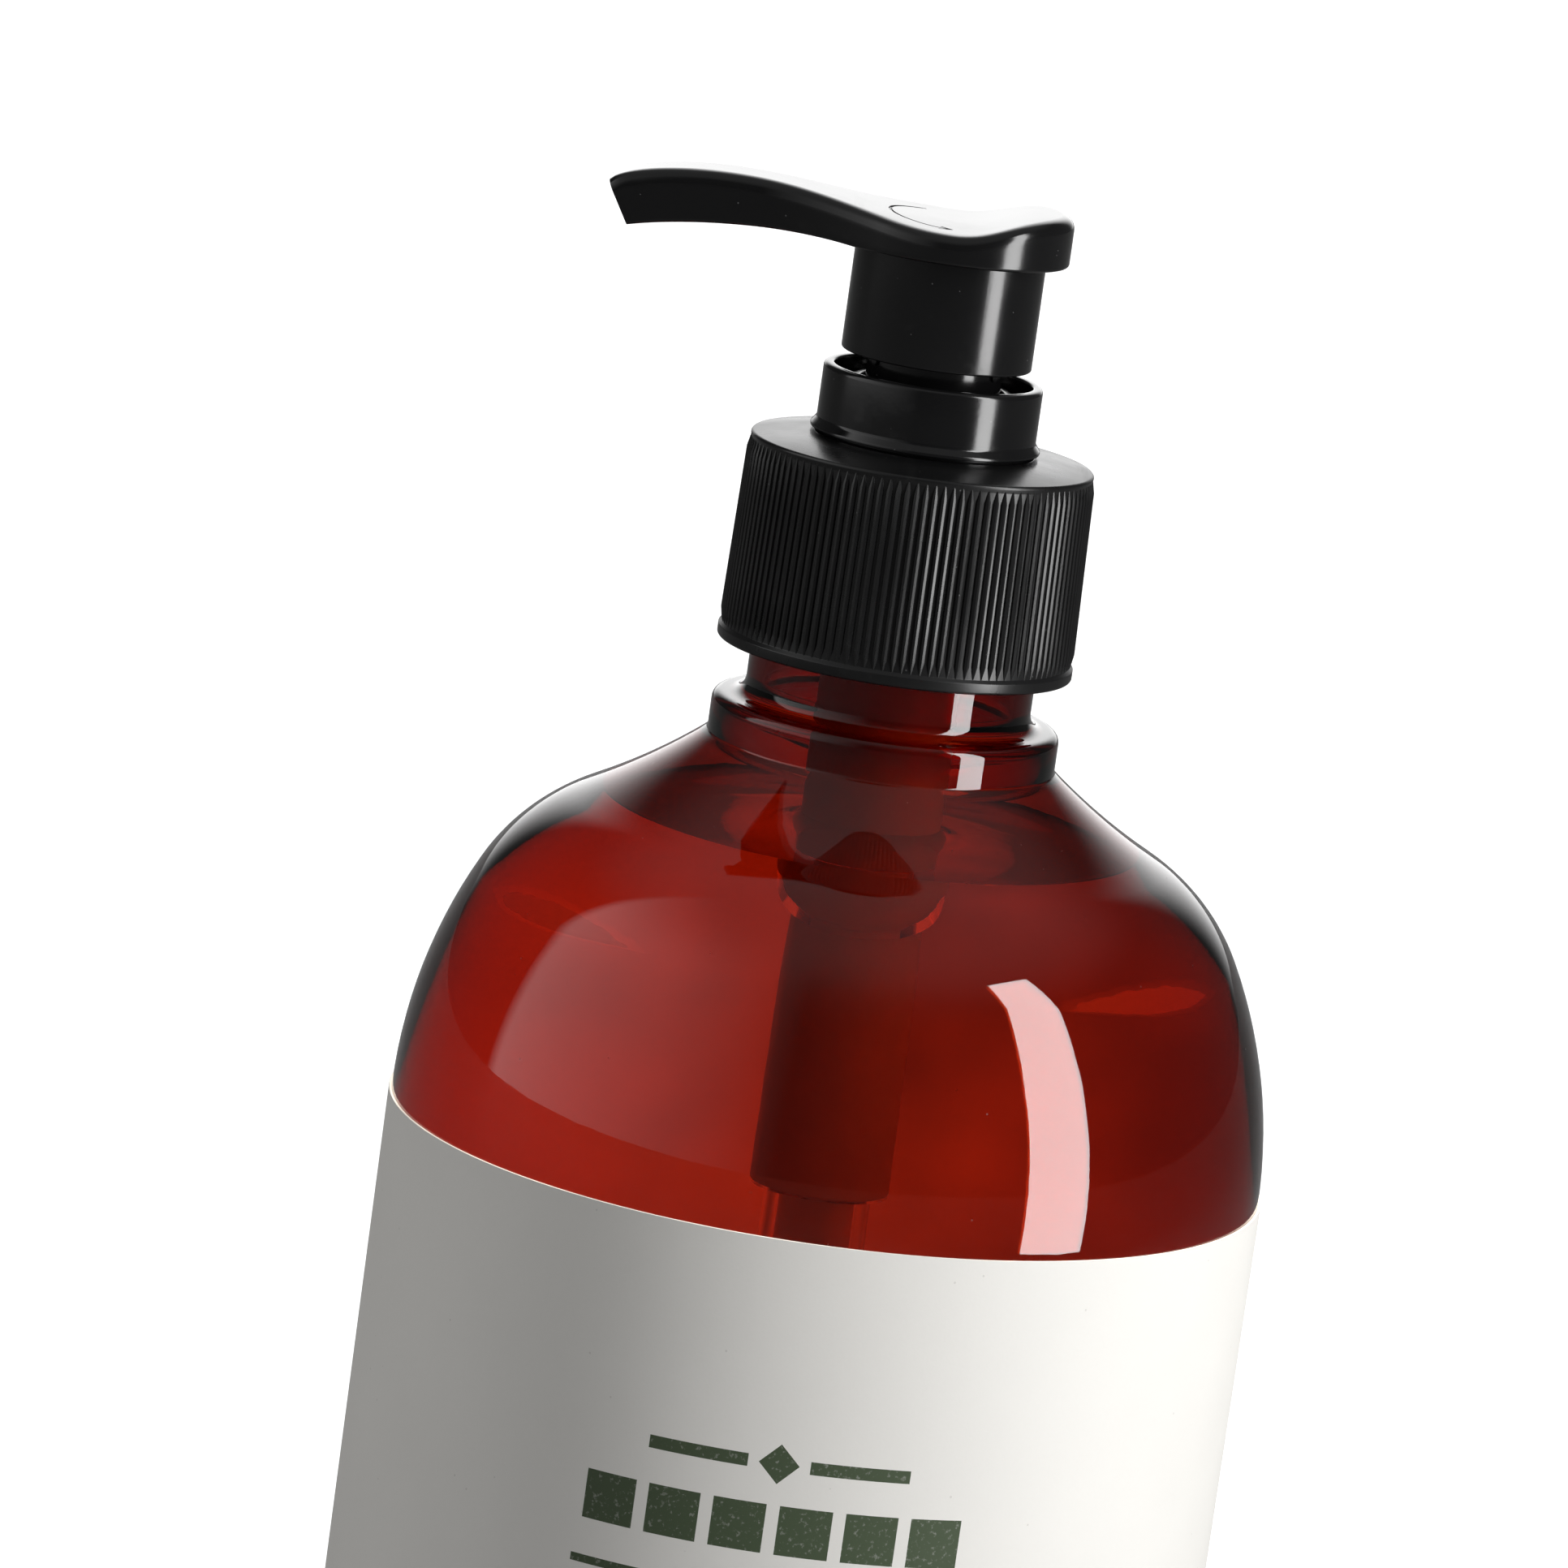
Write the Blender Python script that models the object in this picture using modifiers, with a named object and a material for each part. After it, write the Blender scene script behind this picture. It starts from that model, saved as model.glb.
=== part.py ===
"""Pump bottle for liquid soap: a round-shouldered bottle, its screw closure and a hand lotion pump.

Metres, +Z up. The origin is the centre of the bottle's base, on the bottle's axis, and the spout
points along -X. Every turned piece shares that axis, so its place is in its profile's heights.
"""
from math import cos, pi, radians, sin, sqrt, tan

import bmesh
import bpy
from mathutils import Matrix, Vector

MM = 0.001

# Fits
GAP = 0.3 * MM             # air left between two pieces that touch on the real object
SLIDE_FIT = 0.35 * MM      # radial room between the head's tubes and the collar's
SEAL_FIT = 0.1 * MM        # radial room between the piston seal and the pump chamber
PRESS_FIT = 0.15 * MM      # radial room left where one tube is pushed into another

# Facets round a full turn
WIDE_STEPS = 40
NARROW_STEPS = 28
FILLET_STEPS = 2
ARC_STEPS = 3

# Bottle
BODY_RADIUS = 37.5 * MM
BODY_HEIGHT = 99.0 * MM    # straight side, from the base to the start of the shoulder
SHOULDER_HEIGHT = 34.4 * MM
SHOULDER_ARCS = ((43.5 * MM, 27.3), (17.3 * MM, 34.7), (60.2 * MM, -12.0))
WALL = 0.8 * MM
BASE_WALL = 1.2 * MM
HEEL_RADIUS = 6.0 * MM
REST_RING_INNER = 25.0 * MM
PUSH_UP = 3.0 * MM
STEP_LEDGE = 2.7 * MM      # how far the step stands out past the neck
STEP_HEIGHT = 3.5 * MM
STEP_FILLET = 0.9 * MM
NECK_RADIUS = 12.2 * MM
NECK_WALL = 1.5 * MM
NECK_HEIGHT = 18.6 * MM    # from the top of the step to the lip
NECK_FILLET = 1.4 * MM

# Screw thread of the neck and the closure
THREAD_PITCH = 4.233 * MM
THREAD_DEPTH = 1.5 * MM
THREAD_TURNS = 1.5
CLOSURE_THREAD_TURNS = 1.25
THREAD_TOP = 2.6 * MM      # middle of the neck thread's upper end, below the lip
RIDGE_ROOT = 2.4 * MM
RIDGE_CREST = 1.0 * MM
THREAD_ROOM = 0.3 * MM     # radial room between the neck's crests and the closure's wall
RIDGE_SINK = 0.4 * MM      # how far a ridge runs into the wall it stands on
CLOSURE_THREAD_DEPTH = 1.35 * MM

# Label and liquid
LABEL_GAP = 0.1 * MM
LABEL_THICKNESS = 0.15 * MM
LABEL_LOW = 8.0 * MM
LIQUID_RISE = 28.0 * MM    # level of the soap above the start of the shoulder

# Closure
CLOSURE_LENGTH = 17.7 * MM
CLOSURE_WALL = 1.2 * MM
CLOSURE_TAPER = 0.4 * MM
CLOSURE_CROWN = 0.8 * MM   # rise of the top face from its rim to its hole
PLATE_THICKNESS = 1.1 * MM
CLOSURE_FILLET = 0.5 * MM

# Gasket, and the flange that the pump hangs from
GASKET_THICKNESS = 0.8 * MM
FLANGE_THICKNESS = 1.0 * MM
FLANGE_ROOM = 1.0 * MM     # radial room between the flange and the closure's wall

# Locking collar
COLLAR_HEIGHT = 5.6 * MM
COLLAR_WALL = 0.9 * MM
COLLAR_FOOT_LAP = 0.45 * MM # how far the collar's foot covers the edge of the closure's hole
COLLAR_FOOT_HEIGHT = 0.8 * MM
COLLAR_PLUG_LENGTH = 4.4 * MM
COLLAR_PLUG_WALL = 0.6 * MM
COLLAR_FLOOR = 1.2 * MM
GUIDE_WALL = 0.65 * MM
GUIDE_DROP = 0.9 * MM      # how far the guide tube ends below the collar's rim
COLLAR_FILLET = 0.7 * MM

# Pump chamber
CUP_DEPTH = 7.4 * MM
CUP_WALL = 0.85 * MM
CUP_ROOM = 0.5 * MM        # radial room between the cup and the neck's bore
CHAMBER_RADIUS = 6.0 * MM
CHAMBER_WALL = 0.9 * MM
CHAMBER_LENGTH = 36.5 * MM
VALVE_SHELL = 1.2 * MM     # wall round the ball's room
VALVE_LENGTH = 18.0 * MM
SOCKET_WALL = 0.95 * MM    # wall round the dip tube
SEAT_WEB = 1.3 * MM
VENT_RADIUS = 0.6 * MM

# Dip tube
TUBE_WALL = 0.8 * MM
TUBE_END = 6.0 * MM        # lower end above the table
TUBE_SOCKET = 9.0 * MM
TUBE_CUT = 30.0            # slope of the cut lower end, in degrees

# Balls, cage, spring
INLET_BALL_RADIUS = 2.4 * MM
BALL_ROOM = 0.8 * MM       # radial room round the inlet ball
INLET_SEAT_LAP = 0.8 * MM  # how much smaller than the ball its seat is
OUTLET_SEAT_LAP = 0.4 * MM
OUTLET_ROOM = 0.7 * MM
INLET_LIFT = 2.0 * MM
OUTLET_LIFT = 1.2 * MM
CAGE_THICKNESS = 0.9 * MM
CAGE_LAP = 0.5 * MM        # how much smaller than the ball the cage's hole is
SPRING_WIRE = 0.4 * MM     # radius of the wire
SPRING_ROOM = 0.7 * MM     # radial room between the coils and the chamber
SPRING_TURNS = 8
SPRING_TURN_STEPS = 14

# Stem, plug and piston seal
STEM_RADIUS = 3.3 * MM
STEM_WALL = 1.5 * MM
STEM_LEDGE = 0.9 * MM      # how far its shoulder stands out
STEM_SHOULDER = 1.4 * MM
STEM_REBATE = 0.6 * MM     # how far its tail is set in, for the seal
SEAL_HEIGHT = 6.5 * MM
SEAL_WAIST = 0.6 * MM
PLUG_FLANGE = 1.4 * MM
PLUG_STALK = 5.0 * MM
PORT_RADIUS = 0.55 * MM

# Head
HEAD_RISE = 10.55 * MM     # underside of the head above the collar's rim
SKIRT_GAP = 1.3 * MM       # daylight between the collar's rim and the head's skirt
SKIRT_WALL = 0.95 * MM
SLEEVE_FIT = 0.4 * MM      # radial room between the sleeve and the collar's guide
SLEEVE_WALL = 1.1 * MM
STEM_SOCKET = 6.0 * MM     # length of stem that the head grips
LUG_COUNT = 3
LUG_REACH = 0.2 * MM
LUG_SIZE = 0.8 * MM
LUG_HEIGHT = 9.75 * MM     # below the head's underside
DISC_LAP = 1.9 * MM        # how far the head's disc stands out past the skirt
SPOUT_REACH = 29.3 * MM    # upper lip of the spout, from the axis
SPOUT_CUT = 2.0 * MM       # how far the lower lip stands back from the upper one
SPOUT_TIP_WIDTH = 6.4 * MM
SPOUT_ROOT_WIDTH = 7.4 * MM
SPOUT_ROOT = 17.0 * MM     # where the sides of the spout run into the flare, from the axis
SADDLE_HEIGHT = 2.5 * MM
SPOUT_HEIGHT = 4.3 * MM
SPOUT_CREST = 19.0 * MM    # highest point of the spout, from the axis
SPOUT_ARCH = 0.3 * MM      # rise of the spout's underside
TIP_HEIGHT = 2.2 * MM
TIP_DROP = 1.25 * MM
BROW_RUN = 0.6 * MM        # the rounding over the spout's tip, as the pull of its curve
BROW_RISE = 1.0 * MM
HEEL_HEIGHT = 4.3 * MM     # back edge of the head
HEEL_ROUND = 1.1 * MM
CHANNEL_RADIUS = 0.9 * MM
HEAD_ROOF = 1.0 * MM       # plastic left over the outlet ball
HEAD_WEB = 1.0 * MM        # plastic under the channel, between the skirt and the sleeve
PRESS_TRAVEL = 9.5 * MM

# Radii that follow from the sizes above, from the neck inwards and outwards
NECK_BORE = NECK_RADIUS - NECK_WALL
STEP_RADIUS = NECK_RADIUS + STEP_LEDGE
CLOSURE_BORE = NECK_RADIUS + THREAD_DEPTH + THREAD_ROOM
CLOSURE_RADIUS = CLOSURE_BORE + CLOSURE_WALL
FLANGE_RADIUS = CLOSURE_BORE - FLANGE_ROOM
CUP_RADIUS = NECK_BORE - CUP_ROOM
CUP_BORE = CUP_RADIUS - CUP_WALL
COLLAR_PLUG_RADIUS = CUP_BORE - GAP
CLOSURE_HOLE = COLLAR_PLUG_RADIUS + GAP
COLLAR_BORE = COLLAR_PLUG_RADIUS - COLLAR_PLUG_WALL
COLLAR_RADIUS = COLLAR_BORE + COLLAR_WALL
COLLAR_FOOT_RADIUS = CLOSURE_HOLE + COLLAR_FOOT_LAP
SKIRT_RADIUS = COLLAR_BORE - SLIDE_FIT
SKIRT_BORE = SKIRT_RADIUS - SKIRT_WALL
GUIDE_RADIUS = SKIRT_BORE - SLIDE_FIT
GUIDE_BORE = GUIDE_RADIUS - GUIDE_WALL
SLEEVE_RADIUS = GUIDE_BORE - SLEEVE_FIT
SLEEVE_BORE = SLEEVE_RADIUS - SLEEVE_WALL
DISC_RADIUS = SKIRT_RADIUS + DISC_LAP
CHAMBER_BORE = CHAMBER_RADIUS - CHAMBER_WALL
SPRING_RADIUS = CHAMBER_BORE - SPRING_ROOM - SPRING_WIRE
BALL_ROOM_RADIUS = INLET_BALL_RADIUS + BALL_ROOM
SEAT_RADIUS = INLET_BALL_RADIUS - INLET_SEAT_LAP
CAGE_BORE = INLET_BALL_RADIUS - CAGE_LAP
CAGE_STUB_RADIUS = BALL_ROOM_RADIUS - GAP
VALVE_RADIUS = BALL_ROOM_RADIUS + VALVE_SHELL
TUBE_RADIUS = VALVE_RADIUS - SOCKET_WALL - PRESS_FIT
STEM_BORE = STEM_RADIUS - STEM_WALL
STEM_SHOULDER_RADIUS = STEM_RADIUS + STEM_LEDGE
STEM_TAIL_RADIUS = STEM_RADIUS - STEM_REBATE
SOCKET_RADIUS = STEM_RADIUS + PRESS_FIT
PLUG_STALK_RADIUS = STEM_BORE - GAP
OUTLET_BALL_RADIUS = STEM_BORE + OUTLET_SEAT_LAP
OUTLET_ROOM_RADIUS = OUTLET_BALL_RADIUS + OUTLET_ROOM

# Heights that follow from the sizes above
LIQUID_LEVEL = BODY_HEIGHT + LIQUID_RISE
STEP_LOW = BODY_HEIGHT + SHOULDER_HEIGHT
STEP_TOP = STEP_LOW + STEP_HEIGHT
LIP = STEP_TOP + NECK_HEIGHT
GASKET_LOW = LIP + GAP
FLANGE_LOW = GASKET_LOW + GASKET_THICKNESS + GAP
FLANGE_TOP = FLANGE_LOW + FLANGE_THICKNESS
PLATE_LOW = FLANGE_TOP + GAP
CLOSURE_RIM = PLATE_LOW + PLATE_THICKNESS
CLOSURE_TOP = CLOSURE_RIM + CLOSURE_CROWN
CLOSURE_LOW = CLOSURE_RIM - CLOSURE_LENGTH
COLLAR_LOW = CLOSURE_TOP + GAP
COLLAR_RIM = COLLAR_LOW + COLLAR_HEIGHT
CUP_FLOOR = FLANGE_TOP - CUP_DEPTH
CHAMBER_LOW = CUP_FLOOR - CHAMBER_LENGTH
VALVE_LOW = CHAMBER_LOW - VALVE_LENGTH
SEAT_LOW = VALVE_LOW + TUBE_SOCKET
SEAT_TOP = SEAT_LOW + SEAT_WEB
TUBE_TOP = SEAT_LOW - GAP
INLET_BALL = SEAT_TOP + sqrt(INLET_BALL_RADIUS ** 2 - SEAT_RADIUS ** 2) + PRESS_FIT
STUB_LOW = INLET_BALL + INLET_BALL_RADIUS + INLET_LIFT + GAP
CAGE_LOW = CHAMBER_LOW + CHAMBER_WALL + GAP
CAGE_TOP = CAGE_LOW + CAGE_THICKNESS
UNDERSIDE = COLLAR_RIM + HEAD_RISE
SKIRT_LOW = COLLAR_RIM + SKIRT_GAP
COLLAR_FLOOR_TOP = SKIRT_LOW - PRESS_TRAVEL - GAP
COLLAR_PLUG_LOW = PLATE_LOW - COLLAR_PLUG_LENGTH
SLEEVE_LOW = CUP_FLOOR + PRESS_TRAVEL + GAP
OUTLET_ROOM_TOP = UNDERSIDE + SADDLE_HEIGHT - HEAD_ROOF
OUTLET_BALL = OUTLET_ROOM_TOP - GAP - OUTLET_LIFT - OUTLET_BALL_RADIUS
STEM_TOP = OUTLET_BALL - sqrt(OUTLET_BALL_RADIUS ** 2 - STEM_BORE ** 2) - PRESS_FIT
STEM_STOP = STEM_TOP + GAP
STEM_SHOULDER_TOP = CUP_FLOOR - CHAMBER_WALL
SEAL_TOP = STEM_SHOULDER_TOP - STEM_SHOULDER - GAP
SEAL_LOW = SEAL_TOP - SEAL_HEIGHT
PLUG_TOP = SEAL_LOW - GAP
PLUG_LOW = PLUG_TOP - PLUG_FLANGE
SPRING_TOP = PLUG_LOW - GAP
SPRING_LOW = CAGE_TOP + GAP

PLASTICS = {
    "amber": ((0.16, 0.03, 0.01, 1.0), 0.06, 0.0),
    "black": ((0.012, 0.012, 0.012, 1.0), 0.28, 0.0),
    "black_satin": ((0.015, 0.015, 0.015, 1.0), 0.45, 0.0),
    "natural": ((0.75, 0.73, 0.68, 1.0), 0.35, 0.0),
    "seal": ((0.82, 0.80, 0.74, 1.0), 0.5, 0.0),
    "foam": ((0.85, 0.85, 0.83, 1.0), 0.8, 0.0),
    "paper": ((0.80, 0.79, 0.75, 1.0), 0.75, 0.0),
    "soap": ((0.55, 0.10, 0.03, 1.0), 0.1, 0.0),
    "steel": ((0.6, 0.6, 0.6, 1.0), 0.25, 1.0),
    "ball_glass": ((0.8, 0.85, 0.85, 1.0), 0.05, 0.0),
}


# ---------------------------------------------------------------- scene and materials

def clear_scene():
    """Empty the scene and its collections."""
    for obj in list(bpy.data.objects):
        bpy.data.objects.remove(obj, do_unlink=True)
    for group in list(bpy.data.collections):
        bpy.data.collections.remove(group)


def new_collection(name):
    """Add a collection to the scene."""
    group = bpy.data.collections.new(name)
    bpy.context.scene.collection.children.link(group)
    return group


def material(name):
    """Principled material for one of the plastics, metals or papers."""
    found = bpy.data.materials.get(name)
    if found:
        return found
    colour, roughness, metallic = PLASTICS[name]
    made = bpy.data.materials.new(name)
    made.use_nodes = True
    shader = made.node_tree.nodes["Principled BSDF"]
    shader.inputs["Base Color"].default_value = colour
    shader.inputs["Roughness"].default_value = roughness
    shader.inputs["Metallic"].default_value = metallic
    made.diffuse_color = colour
    return made


# ---------------------------------------------------------------- profiles

def rounded(corners):
    """Profile points (r, z) from corners (r, z, fillet), each rounded by an arc of its fillet."""
    points = []
    for index, (radius, height, fillet) in enumerate(corners):
        here = Vector((radius, height))
        if fillet == 0 or index in (0, len(corners) - 1):
            points.append(here)
            continue
        back = Vector(corners[index - 1][:2]) - here
        ahead = Vector(corners[index + 1][:2]) - here
        half_angle = back.angle(ahead) / 2
        reach = min(fillet / tan(half_angle), 0.49 * back.length, 0.49 * ahead.length)
        size = reach * tan(half_angle)
        centre = here + (back.normalized() + ahead.normalized()).normalized() * size / sin(half_angle)
        first = here + back.normalized() * reach - centre
        last = here + ahead.normalized() * reach - centre
        sweep = first.angle_signed(last)
        for step in range(FILLET_STEPS + 1):
            turn = Matrix.Rotation(-sweep * step / FILLET_STEPS, 2)
            points.append(centre + turn @ first)
    return points


def tangent_arcs(arcs, steps):
    """Points along arcs (radius, turn in degrees) that run into each other, upwards from (0, 0)."""
    points = [Vector((0.0, 0.0))]
    heading = pi / 2
    for radius, turn in arcs:
        half_step = radians(turn) / steps / 2
        for _ in range(steps):
            heading += half_step
            chord = 2 * radius * sin(abs(half_step))
            points.append(points[-1] + Vector((cos(heading), sin(heading))) * chord)
            heading += half_step
    return points


def offset_inwards(points, distance):
    """The same run of points, moved towards the axis by a wall's thickness."""
    moved = []
    for index, point in enumerate(points):
        ahead = points[min(index + 1, len(points) - 1)] - points[max(index - 1, 0)]
        moved.append(point + Vector((-ahead.y, ahead.x)).normalized() * distance)
    return moved


def shoulder(inset=0.0):
    """Outline of the shoulder from the body up to the step, or of a wall inside it."""
    arcs = tangent_arcs(SHOULDER_ARCS, ARC_STEPS)
    width = (STEP_RADIUS - BODY_RADIUS) / arcs[-1].x
    height = SHOULDER_HEIGHT / arcs[-1].y
    outline = [Vector((BODY_RADIUS + p.x * width, BODY_HEIGHT + p.y * height)) for p in arcs]
    return offset_inwards(outline, inset)


def below(points, level):
    """The part of a rising run of points that lies under a level, ending on it."""
    kept = [points[0]]
    for low, high in zip(points, points[1:]):
        if high.y >= level:
            kept.append(low.lerp(high, (level - low.y) / (high.y - low.y)))
            return kept
        kept.append(high)
    return kept


# ---------------------------------------------------------------- makers

def add_object(name, data, collection):
    """Link a new object that holds a mesh or a curve."""
    obj = bpy.data.objects.new(name, data)
    collection.objects.link(obj)
    return obj


def turned(name, profile, collection, look, steps, closed=False):
    """A turned piece: a profile at +X with a Screw modifier round Z."""
    mesh = bpy.data.meshes.new(name)
    count = len(profile)
    edges = [(i, i + 1) for i in range(count - 1)]
    if closed:
        edges.append((count - 1, 0))
    mesh.from_pydata([(p[0], 0.0, p[1]) for p in profile], edges, [])
    mesh.materials.append(material(look))
    obj = add_object(name, mesh, collection)
    screw = obj.modifiers.new("Turn", 'SCREW')
    screw.axis = 'Z'
    screw.steps = steps
    screw.render_steps = steps
    screw.use_merge_vertices = True
    screw.merge_threshold = 0.00001
    screw.use_smooth_shade = True
    return obj


def as_mesh(obj, collection):
    """Replace an object that still has its modifiers or its curve with a plain, welded mesh."""
    evaluated = obj.evaluated_get(bpy.context.evaluated_depsgraph_get())
    mesh = bpy.data.meshes.new_from_object(evaluated)
    edit = bmesh.new()
    edit.from_mesh(mesh)
    bmesh.ops.remove_doubles(edit, verts=edit.verts, dist=0.000001)
    edges = [edge for edge in edit.edges if edge.is_boundary]
    if edges:
        bmesh.ops.holes_fill(edit, edges=edges, sides=0)
    bmesh.ops.recalc_face_normals(edit, faces=edit.faces)
    edit.to_mesh(mesh)
    edit.free()
    name = obj.name
    place = obj.matrix_world.copy()
    bpy.data.objects.remove(obj, do_unlink=True)
    made = add_object(name, mesh, collection)
    made.matrix_world = place
    return made


def combine(target, tool, operation):
    """Join a tool object to a target, or cut the target with it, by an exact Boolean."""
    step = target.modifiers.new(tool.name, 'BOOLEAN')
    step.operation = operation
    step.solver = 'EXACT'
    step.object = tool
    tool.hide_render = True
    tool.display_type = 'WIRE'


def ridge(name, wall_radius, depth, low, turns, collection):
    """A helical thread ridge on a wall, sunk a little into it; a negative depth stands inwards."""
    root = wall_radius - RIDGE_SINK * (1 if depth > 0 else -1)
    crest = wall_radius + depth
    profile = [
        (root, low + RIDGE_ROOT / 2),
        (crest, low + RIDGE_CREST / 2),
        (crest, low - RIDGE_CREST / 2),
        (root, low - RIDGE_ROOT / 2),
    ]
    obj = turned(name, profile, collection, "black", round(WIDE_STEPS * turns), closed=True)
    screw = obj.modifiers["Turn"]
    screw.angle = turns * 2 * pi
    screw.screw_offset = turns * THREAD_PITCH
    screw.use_merge_vertices = False
    bpy.context.view_layer.update()
    return as_mesh(obj, collection)


def flat_outline(name, points, half_thickness, collection):
    """A plate: a closed flat outline with thickness on both sides of its plane."""
    curve = bpy.data.curves.new(name, 'CURVE')
    curve.dimensions = '2D'
    curve.fill_mode = 'BOTH'
    curve.extrude = half_thickness
    spline = curve.splines.new('POLY')
    spline.points.add(len(points) - 1)
    for place, (u, v) in zip(spline.points, points):
        place.co = (u, v, 0.0, 1.0)
    spline.use_cyclic_u = True
    return add_object(name, curve, collection)


def rod_along(name, points, radius, resolution, collection):
    """A round rod along a line of points, with filled ends."""
    curve = bpy.data.curves.new(name, 'CURVE')
    curve.dimensions = '3D'
    curve.bevel_depth = radius
    curve.bevel_resolution = resolution
    curve.use_fill_caps = True
    spline = curve.splines.new('POLY')
    spline.points.add(len(points) - 1)
    for place, point in zip(spline.points, points):
        place.co = (point[0], point[1], point[2], 1.0)
    return add_object(name, curve, collection)


def bezier(start, start_handle, end_handle, end, steps):
    """Points along one cubic curve, without its first point."""
    made = []
    for step in range(1, steps + 1):
        t = step / steps
        weights = ((1 - t) ** 3, 3 * t * (1 - t) ** 2, 3 * t * t * (1 - t), t ** 3)
        corners = (start, start_handle, end_handle, end)
        made.append(sum((Vector(c) * w for c, w in zip(corners, weights)), Vector((0.0, 0.0))))
    return made


# ---------------------------------------------------------------- bottle, label, liquid

def make_bottle(parts, cutters):
    """Blown bottle with a pushed-up base, a stepped shoulder and a threaded neck."""
    inner_radius = BODY_RADIUS - WALL
    inner_step = STEP_RADIUS - WALL - NECK_FILLET / 2
    slope_start = REST_RING_INNER - 2 * PUSH_UP
    inner = rounded([
        (0.0, PUSH_UP + BASE_WALL, 0),
        (slope_start, PUSH_UP + BASE_WALL, PUSH_UP),
        (REST_RING_INNER, BASE_WALL, PUSH_UP / 2),
        (inner_radius, BASE_WALL, HEEL_RADIUS - WALL),
        (inner_radius, BODY_HEIGHT, 0),
    ])[:-1]
    inner += shoulder(WALL)
    inner += rounded([
        (inner_step, STEP_LOW, 0),
        (inner_step, STEP_TOP - BASE_WALL, STEP_FILLET),
        (NECK_BORE, STEP_TOP + BASE_WALL, STEP_FILLET),
        (NECK_BORE, LIP, 0),
    ])
    outer = rounded([
        (NECK_RADIUS, LIP, 0),
        (NECK_RADIUS, STEP_TOP, NECK_FILLET),
        (STEP_RADIUS, STEP_TOP, STEP_FILLET),
        (STEP_RADIUS, STEP_LOW, 0),
    ])
    outer += list(reversed(shoulder()))[1:]
    outer += rounded([
        (BODY_RADIUS, BODY_HEIGHT, 0),
        (BODY_RADIUS, 0.0, HEEL_RADIUS),
        (REST_RING_INNER, 0.0, PUSH_UP / 3),
        (slope_start, PUSH_UP, PUSH_UP),
        (0.0, PUSH_UP, 0),
    ])[1:]
    bottle = turned("bottle", inner + outer, parts, "amber", WIDE_STEPS)
    low = LIP - THREAD_TOP - THREAD_TURNS * THREAD_PITCH
    thread = ridge("neck_thread", NECK_RADIUS, THREAD_DEPTH, low, THREAD_TURNS, cutters)
    combine(bottle, thread, 'UNION')


def make_label(parts):
    """Paper band round the straight side of the bottle."""
    inside = BODY_RADIUS + LABEL_GAP
    outside = inside + LABEL_THICKNESS
    band = [(inside, LABEL_LOW), (inside, BODY_HEIGHT), (outside, BODY_HEIGHT), (outside, LABEL_LOW)]
    turned("label", band, parts, "paper", WIDE_STEPS, closed=True)


def make_liquid(parts):
    """Soap that fills the bottle to its level and leaves room for the pump to rise out of it."""
    inset = WALL + GAP
    floor = BASE_WALL + GAP
    slope_start = REST_RING_INNER - 2 * PUSH_UP
    well = [
        (0.0, TUBE_END - GAP),
        (TUBE_RADIUS + GAP, TUBE_END - GAP),
        (TUBE_RADIUS + GAP, VALVE_LOW - GAP),
        (VALVE_RADIUS + GAP, VALVE_LOW - GAP),
        (VALVE_RADIUS + GAP, CHAMBER_LOW - GAP),
        (CHAMBER_RADIUS + GAP, CHAMBER_LOW - GAP),
        (CHAMBER_RADIUS + GAP, LIQUID_LEVEL),
    ]
    side = list(reversed(below(shoulder(inset), LIQUID_LEVEL)))
    base = rounded([
        (BODY_RADIUS - inset, BODY_HEIGHT, 0),
        (BODY_RADIUS - inset, floor, HEEL_RADIUS - inset),
        (REST_RING_INNER, floor, PUSH_UP / 2),
        (slope_start, PUSH_UP + floor, PUSH_UP),
        (0.0, PUSH_UP + floor, 0),
    ])[1:]
    turned("liquid_soap", well + side + base, parts, "soap", WIDE_STEPS)


# ---------------------------------------------------------------- closure and collar

def make_closure(parts, cutters):
    """Screw closure: a tapered threaded skirt under a crowned plate with a hole for the collar."""
    profile = rounded([
        (CLOSURE_RADIUS, CLOSURE_LOW, 0),
        (CLOSURE_BORE, CLOSURE_LOW, 0),
        (CLOSURE_BORE, PLATE_LOW, 0),
        (CLOSURE_HOLE, PLATE_LOW, 0),
        (CLOSURE_HOLE, CLOSURE_TOP, 0),
        (CLOSURE_RADIUS - CLOSURE_TAPER, CLOSURE_RIM, CLOSURE_FILLET),
        (CLOSURE_RADIUS, CLOSURE_LOW, 0),
    ])[:-1]
    closure = turned("screw_closure", profile, parts, "black_satin", WIDE_STEPS, closed=True)
    low = LIP - THREAD_TOP - THREAD_TURNS * THREAD_PITCH - THREAD_PITCH / 2
    thread = ridge("closure_thread", CLOSURE_BORE, -CLOSURE_THREAD_DEPTH, low, CLOSURE_THREAD_TURNS, cutters)
    combine(closure, thread, 'UNION')


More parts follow.
